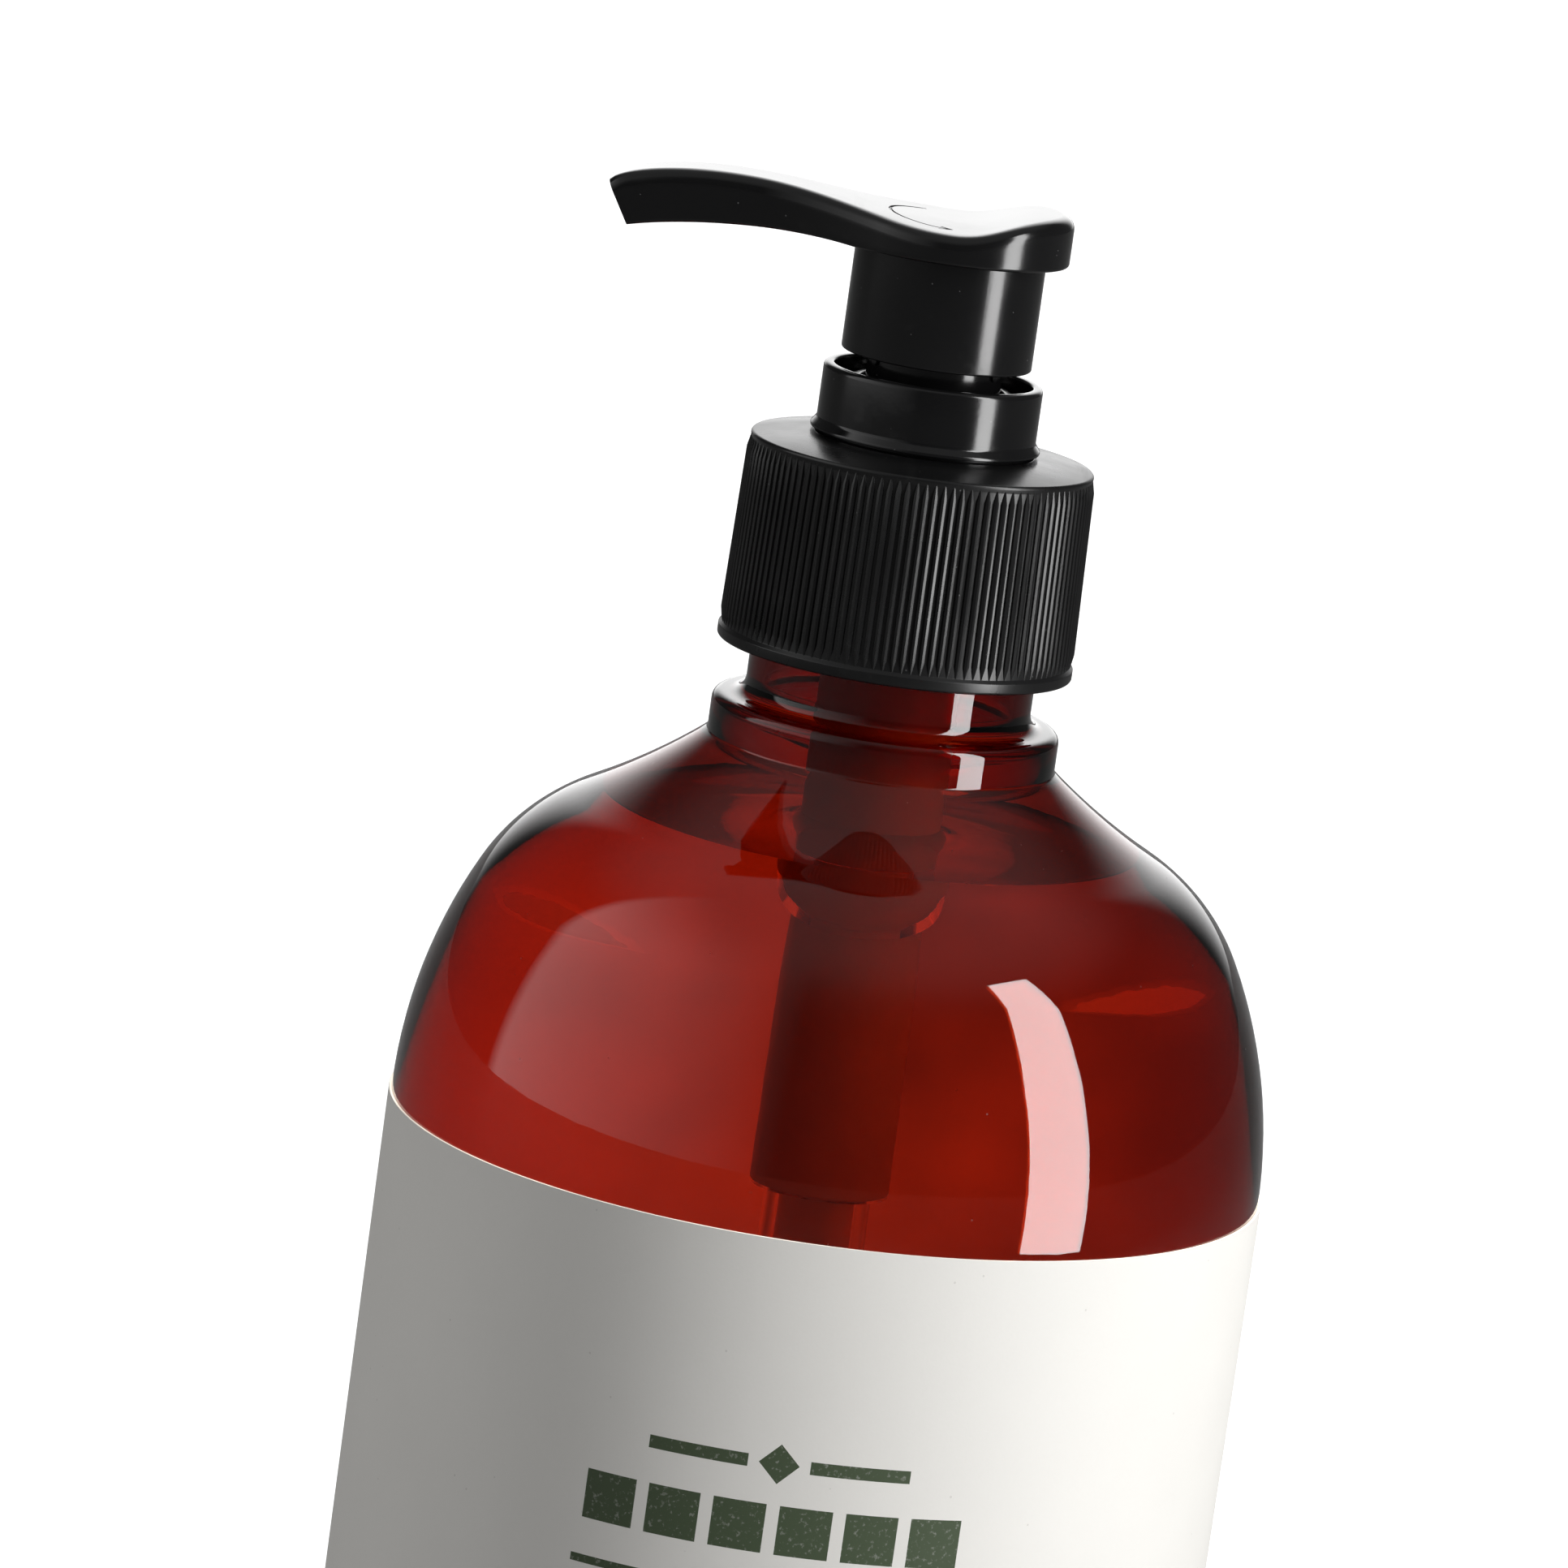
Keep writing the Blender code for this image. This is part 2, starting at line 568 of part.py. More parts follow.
def make_collar(parts):
    """Locking collar: it traps the closure, plugs into the pump's cup and guides the head."""
    profile = rounded([
        (COLLAR_PLUG_RADIUS, COLLAR_PLUG_LOW, 0),
        (COLLAR_BORE, COLLAR_PLUG_LOW, 0),
        (COLLAR_BORE, COLLAR_FLOOR_TOP - COLLAR_FLOOR, 0),
        (GUIDE_BORE, COLLAR_FLOOR_TOP - COLLAR_FLOOR, 0),
        (GUIDE_BORE, COLLAR_RIM - GUIDE_DROP, 0),
        (GUIDE_RADIUS, COLLAR_RIM - GUIDE_DROP, 0),
        (GUIDE_RADIUS, COLLAR_FLOOR_TOP, 0),
        (COLLAR_BORE, COLLAR_FLOOR_TOP, 0),
        (COLLAR_BORE, COLLAR_RIM, 0),
        (COLLAR_RADIUS, COLLAR_RIM, COLLAR_FILLET),
        (COLLAR_RADIUS, COLLAR_LOW + COLLAR_FOOT_HEIGHT, 0),
        (COLLAR_FOOT_RADIUS, COLLAR_LOW, 0),
        (COLLAR_PLUG_RADIUS, COLLAR_LOW, 0),
    ])
    turned("locking_collar", profile, parts, "black", WIDE_STEPS, closed=True)


def make_gasket(parts):
    """Flat ring between the bottle's lip and the pump's flange."""
    low, high = GASKET_LOW, GASKET_LOW + GASKET_THICKNESS
    inside = NECK_BORE
    ring = [(inside, low), (inside, high), (FLANGE_RADIUS, high), (FLANGE_RADIUS, low)]
    turned("neck_gasket", ring, parts, "foam", NARROW_STEPS, closed=True)


# ---------------------------------------------------------------- pump body

def make_housing(parts, cutters):
    """Pump housing: hanging flange, cup, chamber and inlet valve body, with a vent hole."""
    tube_socket = TUBE_RADIUS + PRESS_FIT
    profile = rounded([
        (tube_socket, VALVE_LOW, 0),
        (tube_socket, SEAT_LOW, 0),
        (SEAT_RADIUS, SEAT_LOW, 0),
        (SEAT_RADIUS, SEAT_TOP, 0),
        (BALL_ROOM_RADIUS, SEAT_TOP, 0),
        (BALL_ROOM_RADIUS, CHAMBER_LOW + CHAMBER_WALL, 0),
        (CHAMBER_BORE, CHAMBER_LOW + CHAMBER_WALL, 0),
        (CHAMBER_BORE, CUP_FLOOR, 0),
        (CUP_BORE, CUP_FLOOR, 0),
        (CUP_BORE, FLANGE_TOP, 0),
        (FLANGE_RADIUS, FLANGE_TOP, 0),
        (FLANGE_RADIUS, FLANGE_LOW, 0),
        (CUP_RADIUS, FLANGE_LOW, 0),
        (CUP_RADIUS, CUP_FLOOR - CHAMBER_WALL, CUP_WALL),
        (CHAMBER_RADIUS, CUP_FLOOR - 2 * CHAMBER_WALL, 0),
        (CHAMBER_RADIUS, CHAMBER_LOW, CHAMBER_WALL),
        (VALVE_RADIUS, CHAMBER_LOW, 0),
        (VALVE_RADIUS, VALVE_LOW, 0),
    ])
    housing = turned("pump_housing", profile, parts, "natural", NARROW_STEPS, closed=True)
    height = SEAL_TOP - SEAL_HEIGHT / 2
    reach = [(CHAMBER_BORE - CHAMBER_WALL, 0.0, height), (CHAMBER_RADIUS + CHAMBER_WALL, 0.0, height)]
    vent = as_mesh(rod_along("vent_hole", reach, VENT_RADIUS, 2, cutters), cutters)
    combine(housing, vent, 'DIFFERENCE')


def make_dip_tube(parts, cutters):
    """Straight suction tube with a slanted lower end."""
    inside = TUBE_RADIUS - TUBE_WALL
    profile = [(inside, TUBE_END), (inside, TUBE_TOP), (TUBE_RADIUS, TUBE_TOP), (TUBE_RADIUS, TUBE_END)]
    tube = turned("dip_tube", profile, parts, "natural", NARROW_STEPS, closed=True)
    wide = 2 * TUBE_RADIUS
    slope = tan(radians(TUBE_CUT))
    right = TUBE_END + (TUBE_RADIUS + wide) * slope
    left = TUBE_END + (TUBE_RADIUS - wide) * slope
    wedge = [(-wide, TUBE_END - wide), (wide, TUBE_END - wide), (wide, right), (-wide, left)]
    cutter = flat_outline("tube_cut", wedge, wide, cutters)
    cutter.rotation_euler = (pi / 2, 0.0, 0.0)
    bpy.context.view_layer.update()
    combine(tube, as_mesh(cutter, cutters), 'DIFFERENCE')


def make_ball(name, radius, height, look, parts):
    """A check ball."""
    mesh = bpy.data.meshes.new(name)
    edit = bmesh.new()
    bmesh.ops.create_uvsphere(edit, u_segments=16, v_segments=10, radius=radius)
    edit.to_mesh(mesh)
    edit.free()
    mesh.shade_smooth()
    mesh.materials.append(material(look))
    ball = add_object(name, mesh, parts)
    ball.location = (0.0, 0.0, height)


def make_cage(parts):
    """Ring that the spring stands on, with a stub that keeps the inlet ball in its room."""
    rim = CHAMBER_BORE - PRESS_FIT
    profile = [
        (CAGE_BORE, STUB_LOW),
        (CAGE_BORE, CAGE_TOP),
        (rim, CAGE_TOP),
        (rim, CAGE_LOW),
        (CAGE_STUB_RADIUS, CAGE_LOW),
        (CAGE_STUB_RADIUS, STUB_LOW),
    ]
    turned("ball_cage", profile, parts, "natural", NARROW_STEPS, closed=True)


def make_spring(parts):
    """Return spring, wound round the axis between the cage and the plug."""
    low = SPRING_LOW + SPRING_WIRE
    rise = SPRING_TOP - SPRING_WIRE - low
    count = SPRING_TURNS * SPRING_TURN_STEPS
    points = []
    for step in range(count + 1):
        turn = 2 * pi * step / SPRING_TURN_STEPS
        height = low + rise * step / count
        points.append((SPRING_RADIUS * cos(turn), SPRING_RADIUS * sin(turn), height))
    spring = rod_along("return_spring", points, SPRING_WIRE, 1, parts)
    spring.data.materials.append(material("steel"))


# ---------------------------------------------------------------- piston and head

def make_seal(parts):
    """Piston seal: a sleeve with a lip at each end that wipes the chamber."""
    inside = STEM_TAIL_RADIUS + PRESS_FIT
    lip = CHAMBER_BORE - SEAL_FIT
    waist = lip - SEAL_WAIST
    edge = SEAL_HEIGHT / 4
    profile = [
        (inside, SEAL_LOW),
        (inside, SEAL_TOP),
        (lip, SEAL_TOP),
        (waist, SEAL_TOP - edge),
        (waist, SEAL_LOW + edge),
        (lip, SEAL_LOW),
    ]
    turned("piston_seal", profile, parts, "seal", NARROW_STEPS, closed=True)


def make_stem(parts, cutters):
    """Hollow piston rod with a shoulder over the seal and cross ports under it."""
    tail_low = PLUG_TOP + GAP
    profile = [
        (STEM_BORE, tail_low),
        (STEM_BORE, STEM_TOP),
        (STEM_RADIUS, STEM_TOP),
        (STEM_RADIUS, STEM_SHOULDER_TOP),
        (STEM_SHOULDER_RADIUS, STEM_SHOULDER_TOP),
        (STEM_SHOULDER_RADIUS, STEM_SHOULDER_TOP - STEM_SHOULDER),
        (STEM_TAIL_RADIUS, STEM_SHOULDER_TOP - STEM_SHOULDER),
        (STEM_TAIL_RADIUS, tail_low),
    ]
    stem = turned("piston_stem", profile, parts, "natural", NARROW_STEPS, closed=True)
    height = tail_low + 3 * PORT_RADIUS
    reach = 2 * STEM_TAIL_RADIUS
    port = rod_along("stem_port", [(-reach, 0, height), (reach, 0, height)], PORT_RADIUS, 2, cutters)
    combine(stem, as_mesh(port, cutters), 'DIFFERENCE')


def make_plug(parts):
    """Plug in the lower end of the stem, whose flange carries the seal and takes the spring."""
    profile = [
        (0.0, PLUG_TOP + PLUG_STALK),
        (PLUG_STALK_RADIUS, PLUG_TOP + PLUG_STALK),
        (PLUG_STALK_RADIUS, PLUG_TOP),
        (STEM_SHOULDER_RADIUS, PLUG_TOP),
        (STEM_SHOULDER_RADIUS, PLUG_LOW),
        (0.0, PLUG_LOW),
    ]
    turned("stem_plug", profile, parts, "natural", NARROW_STEPS)


def head_top_line():
    """Top of the head seen from the side, (x, height over the underside), from the tip to the back edge."""
    tip = (-SPOUT_REACH, TIP_HEIGHT)
    crest = (-SPOUT_CREST, SPOUT_HEIGHT)
    saddle = (0.0, SADDLE_HEIGHT)
    heel = (DISC_RADIUS - HEEL_ROUND, HEEL_HEIGHT)
    rise = SPOUT_CREST - SKIRT_RADIUS
    points = [Vector(tip)]
    brow = (tip[0] + BROW_RUN, TIP_HEIGHT + BROW_RISE)
    points += bezier(tip, brow, (crest[0] - rise / 2, crest[1]), crest, 5)
    points += bezier(crest, (crest[0] + 0.7 * rise, crest[1]), (-0.6 * rise, saddle[1]), saddle, 8)
    points += bezier(saddle, (DISC_RADIUS * 0.35, saddle[1]), (DISC_RADIUS * 0.5, heel[1]), heel, 6)
    centre = Vector((heel[0], HEEL_HEIGHT - HEEL_ROUND))
    for step in range(1, FILLET_STEPS + 1):
        turn = pi / 2 * (1 - step / FILLET_STEPS)
        points.append(centre + Vector((cos(turn), sin(turn))) * HEEL_ROUND)
    return points


def head_under_line():
    """Underside of the spout seen from the side, from the skirt to the lower lip."""
    foot = Vector((-SKIRT_RADIUS, 0.0))
    lip = Vector((SPOUT_CUT - SPOUT_REACH, -TIP_DROP))
    rise = SPOUT_CREST - SKIRT_RADIUS
    arch = SPOUT_ARCH * 1.4
    return [foot] + bezier(foot, (foot.x - 0.4 * rise, arch), (lip.x + 0.6 * rise, arch), lip, 7)


def height_at(line, x):
    """Height of a run of points at x."""
    for a, b in zip(line, line[1:]):
        if min(a.x, b.x) <= x <= max(a.x, b.x):
            return a.y + (b.y - a.y) * (x - a.x) / (b.x - a.x)
    return line[-1].y


def head_plan():
    """Plan outline of the head, in (x, y): a disc that draws in to the spout."""
    flare_turn = radians(127)
    flare = Vector((cos(flare_turn), sin(flare_turn))) * DISC_RADIUS
    along = Vector((-sin(flare_turn), cos(flare_turn)))
    root = Vector((-SPOUT_ROOT, SPOUT_ROOT_WIDTH / 2))
    tip = Vector((-SPOUT_REACH - SPOUT_CUT, SPOUT_TIP_WIDTH / 2))
    back = (tip - root).normalized()
    drawn_in = (SPOUT_ROOT - DISC_RADIUS * 0.6) / 3
    side = []
    disc_steps = 12
    for step in range(disc_steps + 1):
        turn = flare_turn * step / disc_steps
        side.append(Vector((cos(turn), sin(turn))) * DISC_RADIUS)
    side += bezier(flare, flare + along * drawn_in, root - back * drawn_in, root, 6)
    side.append(tip)
    mirrored = [Vector((p.x, -p.y)) for p in reversed(side[1:])]
    return side + mirrored


def channel_route():
    """Middle line of the spout's bore, out of the ball's room and along the spout past its tip."""
    top, under = head_top_line(), head_under_line()
    route = [Vector((-OUTLET_ROOM_RADIUS / 2, OUTLET_ROOM_TOP - UNDERSIDE - CHANNEL_RADIUS))]
    start, end = -SKIRT_RADIUS, SPOUT_CUT - SPOUT_REACH
    steps = 9
    for step in range(steps + 1):
        x = start + (end - start) * step / steps
        route.append(Vector((x, (height_at(top, x) + height_at(under, x)) / 2)))
    route.append(route[-1] + (route[-1] - route[-2]).normalized() * 2 * SPOUT_CUT)
    return [(p.x, 0.0, UNDERSIDE + p.y) for p in route]


def make_head(parts, cutters):
    """Pump head: saddle top and spout over a skirt and a stem sleeve, bored for the soap."""
    outline = head_top_line() + [Vector((DISC_RADIUS, 0.0))] + head_under_line()
    side = flat_outline("head_side", outline, DISC_RADIUS + MM, cutters)
    side.rotation_euler = (pi / 2, 0.0, 0.0)
    side.location = (0.0, 0.0, UNDERSIDE)
    bpy.context.view_layer.update()
    side = as_mesh(side, cutters)
    plan = flat_outline("actuator_head", head_plan(), SPOUT_HEIGHT + MM, parts)
    plan.location = (0.0, 0.0, UNDERSIDE + SPOUT_HEIGHT / 2)
    bpy.context.view_layer.update()
    head = as_mesh(plan, parts)
    head.data.materials.append(material("black"))
    combine(head, side, 'INTERSECT')

    tucked = UNDERSIDE + PRESS_FIT
    skirt_profile = [
        (SKIRT_BORE, SKIRT_LOW),
        (SKIRT_BORE, tucked),
        (SKIRT_RADIUS, tucked),
        (SKIRT_RADIUS, SKIRT_LOW),
    ]
    skirt = turned("head_skirt", skirt_profile, cutters, "black", WIDE_STEPS, closed=True)
    combine(head, skirt, 'UNION')
    web_low = UNDERSIDE - HEAD_WEB
    web_edge = (SKIRT_BORE + SKIRT_RADIUS) / 2
    sleeve_profile = [
        (0.0, tucked),
        (web_edge, tucked),
        (web_edge, web_low),
        (SLEEVE_RADIUS, web_low),
        (SLEEVE_RADIUS, SLEEVE_LOW),
        (0.0, SLEEVE_LOW),
    ]
    sleeve = turned("head_sleeve", sleeve_profile, cutters, "black", NARROW_STEPS)
    combine(head, sleeve, 'UNION')
    for index in range(LUG_COUNT):
        turn = 2 * pi * (index + 0.5) / LUG_COUNT - pi / 2
        ray = Vector((cos(turn), sin(turn), 0.0))
        start = ray * (SLEEVE_RADIUS - LUG_SIZE) + Vector((0.0, 0.0, UNDERSIDE - LUG_HEIGHT))
        end = start + ray * (LUG_SIZE + LUG_REACH)
        lug = rod_along(f"lug_{index + 1}", [start, end], LUG_SIZE / 2, 1, cutters)
        combine(head, as_mesh(lug, cutters), 'UNION')

    bore_profile = [
        (0.0, OUTLET_ROOM_TOP),
        (OUTLET_ROOM_RADIUS, OUTLET_ROOM_TOP),
        (OUTLET_ROOM_RADIUS, STEM_STOP),
        (SOCKET_RADIUS, STEM_STOP),
        (SOCKET_RADIUS, STEM_STOP - STEM_SOCKET),
        (SLEEVE_BORE, STEM_STOP - STEM_SOCKET),
        (SLEEVE_BORE, SLEEVE_LOW - MM),
        (0.0, SLEEVE_LOW - MM),
    ]
    bore = turned("head_bore", bore_profile, cutters, "black", NARROW_STEPS)
    combine(head, bore, 'DIFFERENCE')
    channel = as_mesh(rod_along("spout_channel", channel_route(), CHANNEL_RADIUS, 2, cutters), cutters)
    combine(head, channel, 'DIFFERENCE')


def build():
    """Make every piece of the pump bottle."""
    clear_scene()
    parts = new_collection("soap_pump_dispenser")
    cutters = new_collection("cutters")
    make_bottle(parts, cutters)
    make_label(parts)
    make_liquid(parts)
    make_closure(parts, cutters)
    make_collar(parts)
    make_gasket(parts)
    make_housing(parts, cutters)
    make_dip_tube(parts, cutters)
    make_ball("inlet_check_ball", INLET_BALL_RADIUS, INLET_BALL, "ball_glass", parts)
    make_cage(parts)
    make_spring(parts)
    make_seal(parts)
    make_stem(parts, cutters)
    make_plug(parts)
    make_ball("outlet_check_ball", OUTLET_BALL_RADIUS, OUTLET_BALL, "ball_glass", parts)
    make_head(parts, cutters)


build()
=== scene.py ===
from math import atan2, cos, pi, radians, sin, sqrt, tan

import bmesh
import bpy
from bpy.props import FloatProperty, FloatVectorProperty, IntProperty, PointerProperty
from bpy.types import Operator, Panel, PropertyGroup
from mathutils import Matrix, Vector


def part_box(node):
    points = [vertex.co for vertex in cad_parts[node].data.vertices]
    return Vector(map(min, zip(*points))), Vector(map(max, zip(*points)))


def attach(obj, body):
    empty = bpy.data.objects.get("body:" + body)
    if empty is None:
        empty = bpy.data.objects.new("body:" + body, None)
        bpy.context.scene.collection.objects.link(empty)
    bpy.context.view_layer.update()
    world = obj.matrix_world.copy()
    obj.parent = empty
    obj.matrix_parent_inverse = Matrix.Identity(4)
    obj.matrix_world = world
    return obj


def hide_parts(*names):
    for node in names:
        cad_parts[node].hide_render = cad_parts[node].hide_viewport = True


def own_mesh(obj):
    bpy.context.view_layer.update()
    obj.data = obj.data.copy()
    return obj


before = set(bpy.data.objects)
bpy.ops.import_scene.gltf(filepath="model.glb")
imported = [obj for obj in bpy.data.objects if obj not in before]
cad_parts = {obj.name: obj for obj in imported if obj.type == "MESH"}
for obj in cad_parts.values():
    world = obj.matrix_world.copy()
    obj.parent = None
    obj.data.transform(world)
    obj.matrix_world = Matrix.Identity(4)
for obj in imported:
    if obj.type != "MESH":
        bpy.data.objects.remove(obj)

bl_info = {
    "name": "Soap Pump Bottle",
    "version": (1, 0, 0),
    "blender": (4, 5, 0),
    "location": "3D View > Sidebar > Pump Bottle",
    "description": "Builds the finished surfaces of a soap pump bottle round its packed frame",
    "category": "Object",
}

MM = 0.001
SHARP_ANGLE = radians(38.0)
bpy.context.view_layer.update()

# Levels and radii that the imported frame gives
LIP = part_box("bottle")[1].z
LIQUID_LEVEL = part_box("liquid_soap")[1].z
(_, _, LABEL_LOW), (LABEL_RADIUS, _, LABEL_TOP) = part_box("label")
(_, _, CLOSURE_LOW), (CLOSURE_RADIUS, _, CLOSURE_TOP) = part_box("screw_closure")
(_, _, COLLAR_PLUG_LOW), (_, _, COLLAR_RIM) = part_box("locking_collar")
(_, _, VALVE_LOW), (FLANGE_RADIUS, _, FLANGE_TOP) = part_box("pump_housing")
(_, _, TUBE_LOW), (TUBE_RADIUS, _, TUBE_TOP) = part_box("dip_tube")
(_, _, SPRING_LOW), (_, _, SPRING_TOP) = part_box("return_spring")
(HEAD_LEFT, _, SLEEVE_LOW), (DISC_RADIUS, _, HEAD_TOP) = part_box("actuator_head")
SPOUT_REACH = -HEAD_LEFT


# ---------------------------------------------------------------- settings

class PUMPBOTTLE_PG_sizes(PropertyGroup):
    """Sizes of the finished pieces that a user may change."""

    turn_steps: IntProperty(
        name="Turn Steps", description="Facets round a wide turned piece", default=144, min=24, max=256)
    narrow_steps: IntProperty(
        name="Narrow Steps", description="Facets round a narrow turned piece", default=72, min=16, max=160)
    rib_count: IntProperty(
        name="Ribs", description="Grip ribs round the closure", default=120, min=12, max=200)
    rib_radius: FloatProperty(
        name="Rib Radius", description="Half the width of one grip rib", default=0.30 * MM,
        min=0.1 * MM, max=1.0 * MM, subtype='DISTANCE', unit='LENGTH')
    rib_stand: FloatProperty(
        name="Rib Height", description="How far a rib stands out of the closure's wall",
        default=0.24 * MM, min=0.05 * MM, max=0.6 * MM, subtype='DISTANCE', unit='LENGTH')
    foot_band: FloatProperty(
        name="Foot Band", description="Height of the plain band under the ribs", default=0.95 * MM,
        min=0.0, max=4.0 * MM, subtype='DISTANCE', unit='LENGTH')
    thread_pitch: FloatProperty(
        name="Thread Pitch", description="Rise of the screw thread in one turn", default=4.233 * MM,
        min=1.0 * MM, max=8.0 * MM, subtype='DISTANCE', unit='LENGTH')
    head_edge: FloatProperty(
        name="Head Edge", description="Rounding of the head's upper edge", default=1.15 * MM,
        min=0.2 * MM, max=1.5 * MM, subtype='DISTANCE', unit='LENGTH')
    spring_turns: IntProperty(
        name="Spring Turns", description="Coils of the return spring", default=8, min=3, max=16)


class PUMPBOTTLE_PG_colours(PropertyGroup):
    """Colours of the finished pieces that a user may change."""

    amber: FloatVectorProperty(
        name="Amber", description="What the bottle's wall lets through", subtype='COLOR', size=3,
        min=0.0, max=1.0, default=(0.812, 0.303, 0.02))
    amber_depth: FloatProperty(
        name="Amber Depth", description="How fast the bottle's wall takes up light", default=3400.0,
        min=0.0, max=10000.0)
    soap: FloatVectorProperty(
        name="Soap", description="What the soap lets through", subtype='COLOR', size=3,
        min=0.0, max=1.0, default=(0.87, 0.45, 0.04))
    soap_depth: FloatProperty(
        name="Soap Depth", description="How fast the soap takes up light", default=10.0,
        min=0.0, max=1000.0)
    paper: FloatVectorProperty(
        name="Paper", description="Label stock", subtype='COLOR', size=3,
        min=0.0, max=1.0, default=(0.83, 0.815, 0.78))
    ink: FloatVectorProperty(
        name="Ink", description="Printed ornament on the label", subtype='COLOR', size=3,
        min=0.0, max=1.0, default=(0.06, 0.085, 0.045))
    black: FloatVectorProperty(
        name="Black", description="Moulded black plastic", subtype='COLOR', size=3,
        min=0.0, max=1.0, default=(0.006, 0.006, 0.0063))
    natural: FloatVectorProperty(
        name="Natural", description="Milky plastic of the pump's inner pieces", subtype='COLOR', size=3,
        min=0.0, max=1.0, default=(0.80, 0.78, 0.72))


class PUMPBOTTLE_PG_stage(PropertyGroup):
    """Camera and studio light."""

    distance: FloatProperty(
        name="Distance", description="Camera to the bottle's axis, along the floor", default=0.75185,
        min=0.3, max=3.0, subtype='DISTANCE', unit='LENGTH')
    height: FloatProperty(
        name="Height", description="Camera above the floor", default=0.27695,
        min=0.0, max=2.0, subtype='DISTANCE', unit='LENGTH')
    pitch: FloatProperty(
        name="Pitch", description="How far the camera looks down", default=0.194,
        subtype='ANGLE', unit='ROTATION')
    yaw: FloatProperty(
        name="Yaw", description="How far the camera looks to its right", default=-0.0103,
        subtype='ANGLE', unit='ROTATION')
    roll: FloatProperty(
        name="Roll", description="How far the camera is tilted", default=0.139,
        subtype='ANGLE', unit='ROTATION')
    lens: FloatProperty(
        name="Lens", description="Focal length in millimetres on a 36 mm sensor", default=206.45,
        min=20.0, max=400.0)
    strip_power: FloatProperty(
        name="Strip Light", description="Power of the narrow light on the right", default=3.1,
        min=0.0, max=100.0, unit='POWER')


def settings():
    """The scene's settings for this object."""
    return bpy.context.scene.pump_bottle_sizes, bpy.context.scene.pump_bottle_colours


# ---------------------------------------------------------------- node tree helpers

def feed(tree, socket, value):
    """Give an input socket a link, a colour or a plain value."""
    if hasattr(value, "is_linked"):
        tree.links.new(value, socket)
    elif socket.type == 'RGBA':
        socket.default_value = (*value[:3], 1.0)
    else:
        socket.default_value = value


def add_node(tree, kind, **values):
    """Add a node; keyword names are its properties, or its input sockets with spaces as underscores."""
    node = tree.nodes.new(kind)
    for name, value in values.items():
        if hasattr(node, name):
            setattr(node, name, value)
        else:
            feed(tree, node.inputs[name.replace("_", " ")], value)
    return node


def math_node(tree, operation, first, second=0.0):
    """A Math node's result from two values or sockets."""
    node = tree.nodes.new("ShaderNodeMath")
    node.operation = operation
    for socket, value in zip(node.inputs, (first, second)):
        feed(tree, socket, value)
    return node.outputs[0]


def times(tree, first, second):
    """Two values or sockets multiplied."""
    return math_node(tree, 'MULTIPLY', first, second)


def remap(tree, value, low, high, new_low, new_high, smooth=False):
    """A value moved from one range to another and held inside it."""
    node = add_node(
        tree, "ShaderNodeMapRange", interpolation_type='SMOOTHSTEP' if smooth else 'LINEAR',
        Value=value, From_Min=low, From_Max=high, To_Min=new_low, To_Max=new_high)
    return node.outputs["Result"]


def blend_colours(tree, share, first, second):
    """Two colours mixed by a share."""
    node = add_node(tree, "ShaderNodeMix", data_type='RGBA')
    for place, value in ((0, share), (6, first), (7, second)):
        feed(tree, node.inputs[place], value)
    return node.outputs[2]


def new_tree(name, kind, inputs, outputs):
    """A node group with named sockets; returns it with its input and output nodes."""
    tree = bpy.data.node_groups.new(name, kind)
    for label, socket_kind, default in inputs:
        made = tree.interface.new_socket(label, in_out='INPUT', socket_type=socket_kind)
        if default is not None:
            made.default_value = default
    for label, socket_kind in outputs:
        tree.interface.new_socket(label, in_out='OUTPUT', socket_type=socket_kind)
    return tree, tree.nodes.new("NodeGroupInput"), tree.nodes.new("NodeGroupOutput")


# ---------------------------------------------------------------- geometry node trees

def finish_tree(tree, geometry, material, exit_node):
    """End a tree in Realize Instances and Set Material."""
    real = add_node(tree, "GeometryNodeRealizeInstances", Geometry=geometry)
    dressed = add_node(tree, "GeometryNodeSetMaterial", Geometry=real.outputs[0], Material=material)
    tree.links.new(dressed.outputs[0], exit_node.inputs[0])
    return tree


